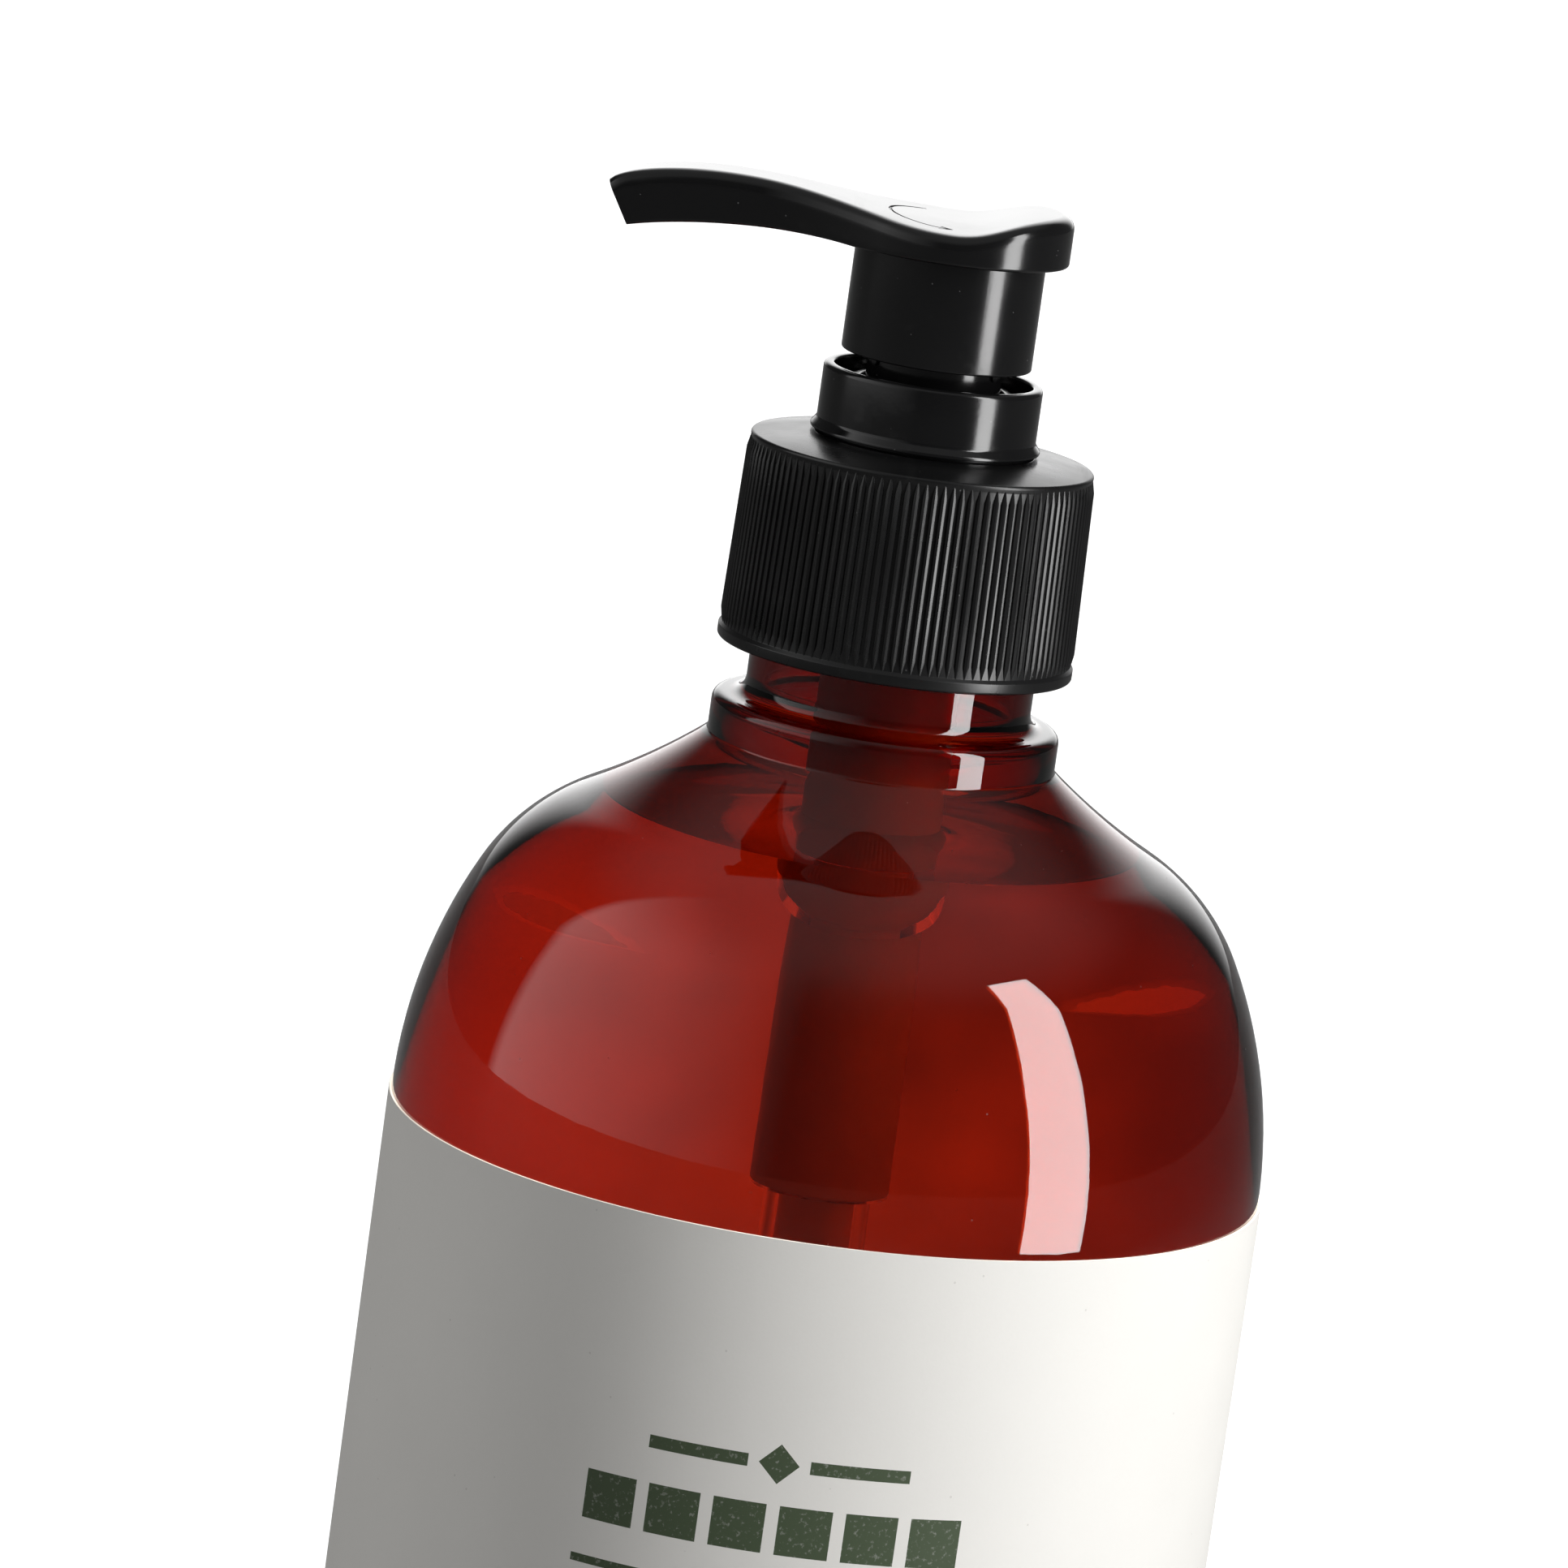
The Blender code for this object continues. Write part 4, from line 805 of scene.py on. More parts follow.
THREAD_RUN_OUT = 0.06
LIQUID_SINK = 0.18 * MM
MENISCUS = 0.9 * MM
CLOSURE_BORE = 14.0 * MM
CLOSURE_RIM = 159.3 * MM
CLOSURE_TAPER = 0.4 * MM
CLOSURE_HOLE = 9.35 * MM
PLATE_LOW = 158.2 * MM
COLLAR_LOW = 160.4 * MM
COLLAR_RADIUS = 9.35 * MM
COLLAR_BORE = 8.45 * MM
COLLAR_PLUG_RADIUS = 9.05 * MM
COLLAR_FOOT_RADIUS = 9.8 * MM
GUIDE_RADIUS = 6.8 * MM
GUIDE_BORE = 6.15 * MM
COLLAR_FLOOR_TOP = 157.5 * MM
CUP_RADIUS = 10.2 * MM
CUP_BORE = 9.35 * MM
CUP_FLOOR = 150.5 * MM
CHAMBER_RADIUS = 6.0 * MM
CHAMBER_BORE = 5.1 * MM
CHAMBER_LOW = 114.0 * MM
VALVE_RADIUS = 4.4 * MM
SEAT_LOW = 105.0 * MM
SEAT_TOP = 106.3 * MM
SEAT_RADIUS = 1.6 * MM
BALL_ROOM_RADIUS = 3.2 * MM
TUBE_WALL = 0.8 * MM
TUBE_CUT = radians(30)
TUBE_SEAM = 20.0 * MM
SKIRT_LOW = 167.3 * MM
SKIRT_RADIUS = 8.1 * MM
SKIRT_BORE = 7.15 * MM
SLEEVE_RADIUS = 5.75 * MM
SLEEVE_BORE = 4.65 * MM
SADDLE_HEIGHT = 2.5 * MM
SPOUT_HEIGHT = 4.3 * MM
SPOUT_CREST = 19.0 * MM
SPOUT_CUT = 2.0 * MM
SPOUT_TIP_WIDTH = 6.4 * MM
SPOUT_ROOT_WIDTH = 7.4 * MM
SPOUT_ROOT = 17.0 * MM
SPOUT_ARCH = 0.3 * MM
TIP_HEIGHT = 2.2 * MM
TIP_DROP = 1.25 * MM
BROW_RUN = 0.6 * MM
BROW_RISE = 1.0 * MM
HEEL_HEIGHT = 4.3 * MM
HEEL_ROUND = 1.1 * MM
FLARE_TURN = radians(127)
HEAD_TUCK = 0.6 * MM
HEAD_WEB = 1.0 * MM
UNDER_EDGE = 0.3 * MM
STEM_TOP = 173.25 * MM
STEM_SOCKET = 6.0 * MM
STEM_SOCKET_RADIUS = 3.45 * MM
OUTLET_ROOM_RADIUS = 2.9 * MM
OUTLET_ROOM_TOP = 178.05 * MM
CHANNEL_RADIUS = 0.9 * MM
LUG_COUNT = 3
LUG_SIZE = 0.8 * MM
LUG_REACH = 0.2 * MM
LUG_LEVEL = 166.8 * MM
UNDERSIDE = HEAD_TOP - SPOUT_HEIGHT
SPRING_WIRE = 0.4 * MM
SPRING_RADIUS = 4.0 * MM
ENGRAVING_RADIUS = 5.6 * MM
ENGRAVING_WIDTH = 0.16 * MM
PRINT_ROWS = (
    (80.2 * MM, 0.55 * MM, 11.0 * MM, 60.0 * MM, 2.6 * MM),
    (74.6 * MM, 2.1 * MM, 16.6 * MM, 5.53 * MM, 0.55 * MM),
    (69.0 * MM, 0.35 * MM, 16.6 * MM, 60.0 * MM, 0.0),
)
PRINT_DIAMOND = (80.2 * MM, 1.7 * MM)
# Painted glow of the label's inner face, standing in for light through the paper: height of least glow, glow
# low and high, cloud share low and high, and glow colour
LINING_DARK = 52.0 * MM
LINING_LOW_GLOW = 0.15
LINING_TOP_GLOW = 1.35
LINING_LOW_CLOUD = 0.3
LINING_TOP_CLOUD = 1.1
LINING_GLOW = (1.0, 0.88, 0.72)


# ---------------------------------------------------------------- bottle, label, soap

def shoulder(inset=0.0, steps=14):
    """Outline of the shoulder from the body up to the step, or of a wall inside it."""
    points = [Vector((0.0, 0.0))]
    heading = pi / 2
    for radius, turn in SHOULDER_ARCS:
        half_step = radians(turn) / steps / 2
        for _ in range(steps):
            heading += half_step
            points.append(
                points[-1] + Vector((cos(heading), sin(heading))) * 2 * radius * sin(abs(half_step)))
            heading += half_step
    width = (STEP_RADIUS - BOTTLE_RADIUS) / points[-1].x
    height = SHOULDER_HEIGHT / points[-1].y
    outline = [Vector((BOTTLE_RADIUS + p.x * width, BODY_HEIGHT + p.y * height)) for p in points]
    moved = []
    for index, point in enumerate(outline):
        ahead = outline[min(index + 1, len(outline) - 1)] - outline[max(index - 1, 0)]
        moved.append(point + Vector((-ahead.y, ahead.x)).normalized() * inset)
    return moved


def bottle_profile():
    """Profile of the blown bottle, from its inner floor up over the lip and down to its base."""
    step_low = BODY_HEIGHT + SHOULDER_HEIGHT
    step_top = step_low + STEP_HEIGHT
    slope_start = REST_RING_INNER - 2 * PUSH_UP
    inner_radius = BOTTLE_RADIUS - WALL
    inner_step = STEP_RADIUS - WALL - NECK_FILLET / 2
    inner = rounded([
        (0.0, PUSH_UP + BASE_WALL, 0),
        (slope_start, PUSH_UP + BASE_WALL, PUSH_UP),
        (REST_RING_INNER, BASE_WALL, PUSH_UP / 2),
        (inner_radius, BASE_WALL, HEEL_RADIUS - WALL),
        (inner_radius, BODY_HEIGHT, 0),
    ])[:-1]
    inner += shoulder(WALL)
    inner += rounded([
        (inner_step, step_low, 0),
        (inner_step, step_top - BASE_WALL, STEP_FILLET),
        (NECK_BORE, step_top + BASE_WALL, STEP_FILLET),
        (NECK_BORE, LIP - 0.3 * MM, 0),
    ])[1:]
    outer = rounded([
        (NECK_BORE + 0.3 * MM, LIP, 0),
        (NECK_RADIUS, LIP, 0.4 * MM),
        (NECK_RADIUS, step_top, NECK_FILLET),
        (STEP_RADIUS, step_top, STEP_FILLET),
        (STEP_RADIUS, step_low + 0.01 * MM, STEP_FILLET / 3),
        (STEP_RADIUS + 1.2 * MM, step_low - 0.75 * MM, 0),
    ])[:-1]
    outer += list(reversed(shoulder()))[1:]
    outer += rounded([
        (BOTTLE_RADIUS, BODY_HEIGHT, 0),
        (BOTTLE_RADIUS, 0.0, HEEL_RADIUS),
        (REST_RING_INNER, 0.0, PUSH_UP / 3),
        (slope_start, PUSH_UP, PUSH_UP),
        (0.0, PUSH_UP, 0),
    ], 8)[1:]
    return inner + outer


def soap_profile():
    """Profile of the soap: it wets the wall and the pump, and climbs a little at both."""
    tuck = 0.05 * MM
    inset = WALL - LIQUID_SINK
    side = []
    outline = shoulder(inset)
    for low, high in zip(outline, outline[1:]):
        side.append(low)
        if high.y >= LIQUID_LEVEL:
            side.append(low.lerp(high, (LIQUID_LEVEL - low.y) / (high.y - low.y)))
            break
    edge = side[-1]
    floor = BASE_WALL - LIQUID_SINK
    slope_start = REST_RING_INNER - 2 * PUSH_UP
    well = [
        (0.0, TUBE_LOW - 0.3 * MM),
        (TUBE_RADIUS + tuck, TUBE_LOW - 0.3 * MM),
        (TUBE_RADIUS + tuck, VALVE_LOW - tuck),
        (VALVE_RADIUS - tuck, VALVE_LOW - tuck),
        (VALVE_RADIUS - tuck, CHAMBER_LOW - tuck),
        (CHAMBER_RADIUS - tuck, CHAMBER_LOW - tuck),
        (CHAMBER_RADIUS - tuck, LIQUID_LEVEL),
    ]
    surface = [
        (CHAMBER_RADIUS + 0.35 * MM, LIQUID_LEVEL - 0.45 * MENISCUS),
        (CHAMBER_RADIUS + 1.2 * MM, LIQUID_LEVEL - 0.85 * MENISCUS),
        (CHAMBER_RADIUS + 2.6 * MM, LIQUID_LEVEL - MENISCUS),
        (edge.x - 3.2 * MM, LIQUID_LEVEL - MENISCUS),
        (edge.x - 1.8 * MM, LIQUID_LEVEL - 0.85 * MENISCUS),
        (edge.x - 0.8 * MM, LIQUID_LEVEL - 0.45 * MENISCUS),
    ]
    base = rounded([
        (BOTTLE_RADIUS - inset, BODY_HEIGHT, 0),
        (BOTTLE_RADIUS - inset, floor, HEEL_RADIUS - inset),
        (REST_RING_INNER, floor, PUSH_UP / 2),
        (slope_start, PUSH_UP + floor, PUSH_UP),
        (0.0, PUSH_UP + floor, 0),
    ])[1:]
    return well + surface + list(reversed(side)) + base


class PUMPBOTTLE_OT_bottle(Operator):
    """Blown amber bottle with its neck thread."""

    bl_idname = "pumpbottle.bottle"
    bl_label = "Bottle"

    def execute(self, context):
        sizes = settings()[0]
        look = once(amber_plastic_finish)
        body = turned("bottle_shell", bottle_profile(), look, sizes.turn_steps)
        tree = bpy.data.node_groups.get("Wound coil") or coil_tree()
        thread = grown(tree, "neck_thread", {
            "Turns": NECK_THREAD_TURNS, "Radius": NECK_RADIUS + THREAD_DEPTH - THREAD_WIRE,
            "Low": NECK_THREAD_LOW, "Rise": NECK_THREAD_TURNS * sizes.thread_pitch,
            "Wire Radius": THREAD_WIRE, "Run Out": THREAD_RUN_OUT,
            "Steps": 64, "Sides": 14, "Material": look})
        bottle = combine(body, [thread], 'UNION')
        place_piece(bottle, "bottle", "amber_plastic", "bottle")
        return {'FINISHED'}


class PUMPBOTTLE_OT_label(Operator):
    """Paper label round the straight side."""

    bl_idname = "pumpbottle.label"
    bl_label = "Label"

    def execute(self, context):
        inside = BOTTLE_RADIUS + 0.02 * MM
        band = ring_profile([
            (inside, LABEL_LOW, 0.04 * MM),
            (LABEL_RADIUS, LABEL_LOW, 0.06 * MM),
            (LABEL_RADIUS, LABEL_TOP, 0.06 * MM),
            (inside, LABEL_TOP, 0.04 * MM),
        ], 3)
        label = turned("paper_label", band, once(label_paper_finish), settings()[0].turn_steps, closed=True)
        # The label's inner faces take the lining with its painted glow
        label.data.materials.append(once(label_lining_painted_glow))
        for face in label.data.polygons:
            if face.center.x * face.normal.x + face.center.y * face.normal.y < 0.5 * BOTTLE_RADIUS:
                face.material_index = 1
        place_piece(label, "bottle", "label_paper", "label")
        return {'FINISHED'}


class PUMPBOTTLE_OT_soap(Operator):
    """Liquid soap up to its level."""

    bl_idname = "pumpbottle.soap"
    bl_label = "Soap"

    def execute(self, context):
        soap = turned("soap_fill", soap_profile(), once(clear_soap_finish), settings()[0].turn_steps)
        place_piece(soap, "bottle", "soap", "liquid_soap")
        return {'FINISHED'}


# ---------------------------------------------------------------- closure and collar

class PUMPBOTTLE_OT_closure(Operator):
    """Ribbed screw closure with its inner thread."""

    bl_idname = "pumpbottle.closure"
    bl_label = "Closure"

    def execute(self, context):
        sizes = settings()[0]
        look = once(black_satin_finish)
        stand = sizes.rib_stand
        foot_top = CLOSURE_LOW + sizes.foot_band
        rim_radius = CLOSURE_RADIUS - CLOSURE_TAPER
        slope = CLOSURE_TAPER / (CLOSURE_RIM - CLOSURE_LOW)
        profile = ring_profile([
            (CLOSURE_BORE, PLATE_LOW, 0.5 * MM),
            (CLOSURE_HOLE, PLATE_LOW, 0.1 * MM),
            (CLOSURE_HOLE, CLOSURE_TOP, 0.15 * MM),
            (rim_radius - 0.1 * MM, CLOSURE_RIM, 0.28 * MM),
            (rim_radius - stand, CLOSURE_RIM - 0.6 * MM, 0.1 * MM),
            (CLOSURE_RADIUS - stand - slope * sizes.foot_band, foot_top + 0.3 * MM, 0.1 * MM),
            (CLOSURE_RADIUS, foot_top, 0.12 * MM),
            (CLOSURE_RADIUS, CLOSURE_LOW, 0.25 * MM),
            (CLOSURE_BORE, CLOSURE_LOW, 0.2 * MM),
        ])
        shell = turned("ribbed_closure", profile, look, sizes.turn_steps, closed=True)
        coil = bpy.data.node_groups.get("Wound coil") or coil_tree()
        thread = grown(coil, "closure_thread", {
            "Turns": CLOSURE_THREAD_TURNS, "Radius": CLOSURE_BORE - CLOSURE_THREAD_INSET,
            "Low": CLOSURE_THREAD_LOW, "Rise": CLOSURE_THREAD_TURNS * sizes.thread_pitch,
            "Wire Radius": CLOSURE_THREAD_WIRE, "Run Out": THREAD_RUN_OUT,
            "Steps": 64, "Sides": 12, "Material": look})
        tree = bpy.data.node_groups.get("Grip ribs") or rib_tree()
        low, high = foot_top + 0.15 * MM, CLOSURE_RIM - 0.35 * MM
        ribs = grown(tree, "grip_ribs", {
            "Count": sizes.rib_count, "Low": low, "High": high,
            "Low Radius": CLOSURE_RADIUS - slope * (low - CLOSURE_LOW) - sizes.rib_radius,
            "High Radius": CLOSURE_RADIUS - slope * (high - CLOSURE_LOW) - sizes.rib_radius,
            "Rib Radius": sizes.rib_radius, "Material": look})
        closure = join_into(shell, [thread, ribs])
        place_piece(closure, "closure", "black_satin_plastic", "screw_closure")
        return {'FINISHED'}


class PUMPBOTTLE_OT_collar(Operator):
    """Locking collar that guides the head."""

    bl_idname = "pumpbottle.collar"
    bl_label = "Collar"

    def execute(self, context):
        profile = ring_profile([
            (COLLAR_PLUG_RADIUS, COLLAR_PLUG_LOW, 0.2 * MM),
            (COLLAR_BORE, COLLAR_PLUG_LOW, 0.1 * MM),
            (COLLAR_BORE, COLLAR_FLOOR_TOP - 1.2 * MM, 0.2 * MM),
            (GUIDE_BORE, COLLAR_FLOOR_TOP - 1.2 * MM, 0.2 * MM),
            (GUIDE_BORE, COLLAR_RIM - 0.9 * MM, 0.15 * MM),
            (GUIDE_RADIUS, COLLAR_RIM - 0.9 * MM, 0.15 * MM),
            (GUIDE_RADIUS, COLLAR_FLOOR_TOP, 0.2 * MM),
            (COLLAR_BORE, COLLAR_FLOOR_TOP, 0.2 * MM),
            (COLLAR_BORE, COLLAR_RIM, 0.22 * MM),
            (COLLAR_RADIUS, COLLAR_RIM, 0.6 * MM),
            (COLLAR_RADIUS, COLLAR_LOW + 0.85 * MM, 0.5 * MM),
            (COLLAR_FOOT_RADIUS, COLLAR_LOW + 0.25 * MM, 0.3 * MM),
            (COLLAR_FOOT_RADIUS, COLLAR_LOW, 0.08 * MM),
            (COLLAR_PLUG_RADIUS, COLLAR_LOW, 0.1 * MM),
        ], 5)
        collar = turned(
            "guide_collar", profile, once(black_gloss_finish), settings()[0].turn_steps, closed=True)
        place_piece(collar, "pump_body", "black_gloss_plastic", "locking_collar")
        return {'FINISHED'}


# ---------------------------------------------------------------- pump under the closure

class PUMPBOTTLE_OT_housing(Operator):
    """Milky pump housing and its dip tube."""

    bl_idname = "pumpbottle.housing"
    bl_label = "Housing and Dip Tube"

    def execute(self, context):
        sizes = settings()[0]
        look = once(natural_plastic_finish)
        socket = TUBE_RADIUS + 0.15 * MM
        profile = ring_profile([
            (socket, SEAT_LOW, 0.1 * MM),
            (SEAT_RADIUS, SEAT_LOW, 0.2 * MM),
            (SEAT_RADIUS, SEAT_TOP, 0.2 * MM),
            (BALL_ROOM_RADIUS, SEAT_TOP, 0.3 * MM),
            (BALL_ROOM_RADIUS, CHAMBER_LOW + 0.9 * MM, 0.2 * MM),
            (CHAMBER_BORE, CHAMBER_LOW + 0.9 * MM, 0.2 * MM),
            (CHAMBER_BORE, CUP_FLOOR, 0.3 * MM),
            (CUP_BORE, CUP_FLOOR, 0.3 * MM),
            (CUP_BORE, FLANGE_TOP, 0.2 * MM),
            (FLANGE_RADIUS, FLANGE_TOP, 0.2 * MM),
            (FLANGE_RADIUS, FLANGE_TOP - 1.0 * MM, 0.2 * MM),
            (CUP_RADIUS, FLANGE_TOP - 1.0 * MM, 0.3 * MM),
            (CUP_RADIUS, CUP_FLOOR - 0.9 * MM, 0.85 * MM),
            (CHAMBER_RADIUS, CUP_FLOOR - 1.8 * MM, 0.6 * MM),
            (CHAMBER_RADIUS, CHAMBER_LOW, 0.7 * MM),
            (VALVE_RADIUS, CHAMBER_LOW, 0.4 * MM),
            (VALVE_RADIUS, VALVE_LOW, 0.3 * MM),
            (socket, VALVE_LOW, 0.3 * MM),
        ], 4)
        housing = turned("milky_housing", profile, look, sizes.narrow_steps, closed=True)
        place_piece(housing, "pump_body", "natural_plastic", "pump_housing")
        inside = TUBE_RADIUS - TUBE_WALL
        start = (inside, TUBE_LOW + TUBE_SEAM, 0)
        tube_profile = rounded([
            start,
            (inside, TUBE_TOP, 0.15 * MM),
            (TUBE_RADIUS, TUBE_TOP, 0.15 * MM),
            (TUBE_RADIUS, TUBE_LOW, 0),
            (inside, TUBE_LOW, 0),
            start,
        ], 4)[:-1]
        tube = turned("suction_tube", tube_profile, look, sizes.narrow_steps, closed=True)
        edit = bmesh.new()
        edit.from_mesh(tube.data)
        slope = tan(TUBE_CUT)
        for vertex in edit.verts:
            if vertex.co.z < TUBE_LOW + MM:
                vertex.co.z = TUBE_LOW + (vertex.co.x + TUBE_RADIUS) * slope
        edit.to_mesh(tube.data)
        edit.free()
        tidy_mesh(tube)
        place_piece(tube, "pump_body", "natural_plastic", "dip_tube")
        return {'FINISHED'}


class PUMPBOTTLE_OT_spring(Operator):
    """Return spring, wound as one fixed coil at its resting length; the coil does not shorten as the head
    goes down.
    """

    bl_idname = "pumpbottle.spring"
    bl_label = "Return Spring"

    def execute(self, context):
        tree = bpy.data.node_groups.get("Wound coil") or coil_tree()
        height = SPRING_TOP - SPRING_LOW
        spring = grown(tree, "coiled_spring", {
            "Turns": float(settings()[0].spring_turns), "Radius": SPRING_RADIUS,
            "Low": SPRING_LOW + SPRING_WIRE, "Rise": height - 2 * SPRING_WIRE,
            "Wire Radius": SPRING_WIRE, "Run Out": 0.002, "Steps": 40, "Sides": 10,
            "Material": once(spring_steel_finish)})
        place_piece(spring, "pump_body", "spring_steel", "return_spring")
        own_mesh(spring)
        return {'FINISHED'}


class PUMPBOTTLE_OT_inner(Operator):
    """Finishes of the small inner pieces that keep their frame meshes."""

    bl_idname = "pumpbottle.inner"
    bl_label = "Inner Pieces"

    def execute(self, context):
        looks = {
            "neck_gasket": gasket_foam_finish, "ball_cage": natural_plastic_finish,
            "piston_seal": soft_seal_finish, "piston_stem": natural_plastic_finish,
            "stem_plug": natural_plastic_finish,
            "inlet_check_ball": ball_glass_finish, "outlet_check_ball": ball_glass_finish,
        }
        for node, maker in looks.items():
            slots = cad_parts[node].material_slots
            if not slots:
                raise RuntimeError(f"frame node {node} has no material slot")
            for slot in slots:
                slot.material = once(maker)
        return {'FINISHED'}


# ---------------------------------------------------------------- head

def head_top_line():
    """Top of the head seen from the side, (x, height over the underside), from the tip to the back."""
    tip = (-SPOUT_REACH, TIP_HEIGHT)
    crest = (-SPOUT_CREST, SPOUT_HEIGHT)
    saddle = (0.0, SADDLE_HEIGHT)
    heel = (DISC_RADIUS - HEEL_ROUND, HEEL_HEIGHT)
    rise = SPOUT_CREST - SKIRT_RADIUS
    points = [Vector(tip)]
    brow = (tip[0] + BROW_RUN, TIP_HEIGHT + BROW_RISE)
    points += bezier(tip, brow, (crest[0] - rise / 2, crest[1]), crest, 16)
    points += bezier(crest, (crest[0] + 0.7 * rise, crest[1]), (-0.6 * rise, saddle[1]), saddle, 24)
    points += bezier(saddle, (DISC_RADIUS * 0.35, saddle[1]), (DISC_RADIUS * 0.5, heel[1]), heel, 16)
    return points + [Vector((DISC_RADIUS + MM, HEEL_HEIGHT))]


def head_under_line():
    """Underside of the head seen from the side, from the back to the spout's lower lip."""
    foot = Vector((-SKIRT_RADIUS, 0.0))
    lip = Vector((SPOUT_CUT - SPOUT_REACH, -TIP_DROP))
    rise = SPOUT_CREST - SKIRT_RADIUS
    arch = SPOUT_ARCH * 1.4
    return [Vector((DISC_RADIUS + MM, 0.0)), foot] + bezier(
        foot, (foot.x - 0.4 * rise, arch), (lip.x + 0.6 * rise, arch), lip, 24)


def head_half_plan():
    """Half of the head's plan outline, in (x, y), from the back of the disc to the spout's tip."""
    flare = Vector((cos(FLARE_TURN), sin(FLARE_TURN))) * DISC_RADIUS
    along = Vector((-sin(FLARE_TURN), cos(FLARE_TURN)))
    root = Vector((-SPOUT_ROOT, SPOUT_ROOT_WIDTH / 2))
    tip = Vector((SPOUT_CUT - SPOUT_REACH, SPOUT_TIP_WIDTH / 2))
    back = (tip - root).normalized()
    drawn_in = (SPOUT_ROOT - DISC_RADIUS * 0.6) / 3
    side = []
    disc_steps = 44
    for step in range(disc_steps + 1):
        turn = FLARE_TURN * step / disc_steps
        side.append(Vector((cos(turn), sin(turn))) * DISC_RADIUS)
    side += bezier(flare, flare + along * drawn_in, root - back * drawn_in, root, 22)
    spout_steps = 16
    side += [root.lerp(tip, step / spout_steps) for step in range(1, spout_steps + 1)]
    return side


def head_shell():
    """Closed skin of the head's disc and spout, with rounded edges all round its top."""
    edge = settings()[0].head_edge
    top, under, plan = head_top_line(), head_under_line(), head_half_plan()
    round_steps, across_steps, wall_steps = 7, 8, 5
    rows = []
    cut_steps = 5
    stations = [(index, 0.0) for index in range(len(plan))]
    stations += [(len(plan) - 1, step / cut_steps) for step in range(1, cut_steps + 1)]
    for index, cut in stations:
        here = plan[index]
        ahead = plan[min(index + 1, len(plan) - 1)] - plan[max(index - 1, 0)]
        outwards = Vector((ahead.y, -ahead.x)).normalized()
        if index == 0:
            outwards = Vector((1.0, 0.0))
        section = []
        for step in range(round_steps + 1):
            turn = pi / 2 * step / round_steps
            section.append((UNDER_EDGE * (1 - sin(turn)), UNDER_EDGE * (1 - cos(turn)), 0.0))
        for step in range(1, wall_steps):
            section.append((0.0, 0.0, step / wall_steps))
        for step in range(round_steps + 1):
            turn = pi / 2 * step / round_steps
            section.append((edge * (1 - cos(turn)), -edge * (1 - sin(turn)), 1.0))
        half = []
        for inset, rise, share in section:
            spot = here - outwards * inset
            low, high = height_at(under, spot.x), height_at(top, spot.x)
            if 0.0 < share < 1.0:
                z = low + UNDER_EDGE + (high - edge - low - UNDER_EDGE) * share
            else:
                z = (high if share else low) + rise
            reach = SPOUT_CUT * cut
            height = (z - low) / (high - low)
            z = low + (height_at(top, spot.x - reach) - low) * height
            half.append(Vector((spot.x - reach * height, max(spot.y, 0.0), z)))
        bottom, crown = half[0], half[-1]
        across = []
        for step in range(1, across_steps + 1):
            share = step / across_steps
            across.append(Vector((crown.x, crown.y * (1 - share), crown.z)))
        below = []
        for step in range(across_steps, 0, -1):
            below.append(Vector((bottom.x, bottom.y * (1 - step / across_steps), bottom.z)))
        side = below + half + across
        mirrored = [Vector((p.x, -p.y, p.z)) for p in reversed(side[1:-1])]
        rows.append([Vector((p.x, p.y, UNDERSIDE + p.z)) for p in side + mirrored])
    edit = bmesh.new()
    grid = [[edit.verts.new(p) for p in row] for row in rows]
    count = len(grid[0])
    for near, far in zip(grid, grid[1:]):
        for place in range(count):
            after = (place + 1) % count
            edit.faces.new((near[place], near[after], far[after], far[place]))
    edit.faces.new(grid[-1])
    bmesh.ops.remove_doubles(edit, verts=edit.verts, dist=0.004 * MM)
    mesh = bpy.data.meshes.new("pump_head")
    edit.to_mesh(mesh)
    edit.free()
    mesh.materials.append(once(black_gloss_finish))
    head = link_mesh("pump_head", mesh)
    tidy_mesh(head)
    return head


def rod_along(name, points, radius, sides):
    """A round rod along a line of points, with filled ends."""
    curve = bpy.data.curves.new(name, 'CURVE')
    curve.dimensions = '3D'
    curve.bevel_depth = radius
    curve.bevel_resolution = sides
    curve.use_fill_caps = True
    spline = curve.splines.new('POLY')
    spline.points.add(len(points) - 1)
    for place, point in zip(spline.points, points):
        place.co = (point[0], point[1], point[2], 1.0)
    curve.materials.append(once(black_gloss_finish))
    obj = bpy.data.objects.new(name, curve)
    bpy.context.scene.collection.objects.link(obj)
    return settle(obj)


def channel_route():
    """Middle line of the spout's bore, out of the ball's room and along the spout past its tip."""
    top, under = head_top_line(), head_under_line()
    route = [Vector((-OUTLET_ROOM_RADIUS / 2, OUTLET_ROOM_TOP - UNDERSIDE - CHANNEL_RADIUS))]
    start, end = -SKIRT_RADIUS, SPOUT_CUT - SPOUT_REACH
    steps = 16
    for step in range(steps + 1):
        x = start + (end - start) * step / steps
        route.append(Vector((x, (height_at(top, x) + height_at(under, x)) / 2)))
    route.append(route[-1] + (route[-1] - route[-2]).normalized() * 2 * SPOUT_CUT)
    return [(p.x, 0.0, UNDERSIDE + p.y) for p in route]


def engraved_strokes():
    """Lines of a plain turning arrow on the saddle: an arc and the two sides of its point."""
    top = head_top_line()
    arc = []
    steps = 40
    for step in range(steps + 1):
        turn = radians(118 + 150 * step / steps)
        x, y = ENGRAVING_RADIUS * cos(turn), ENGRAVING_RADIUS * sin(turn)
        arc.append((x, y, UNDERSIDE + height_at(top, x)))
    strokes = [arc]
    end, before = Vector(arc[-1]), Vector(arc[-4])
    for lean in (-1, 1):
        back = (before - end).normalized()
        side = Vector((-back.y, back.x, 0.0)) * lean
        tail = end + (back + side * 0.7).normalized() * 1.3 * MM
        strokes.append([end, (tail.x, tail.y, UNDERSIDE + height_at(top, tail.x))])
    return strokes


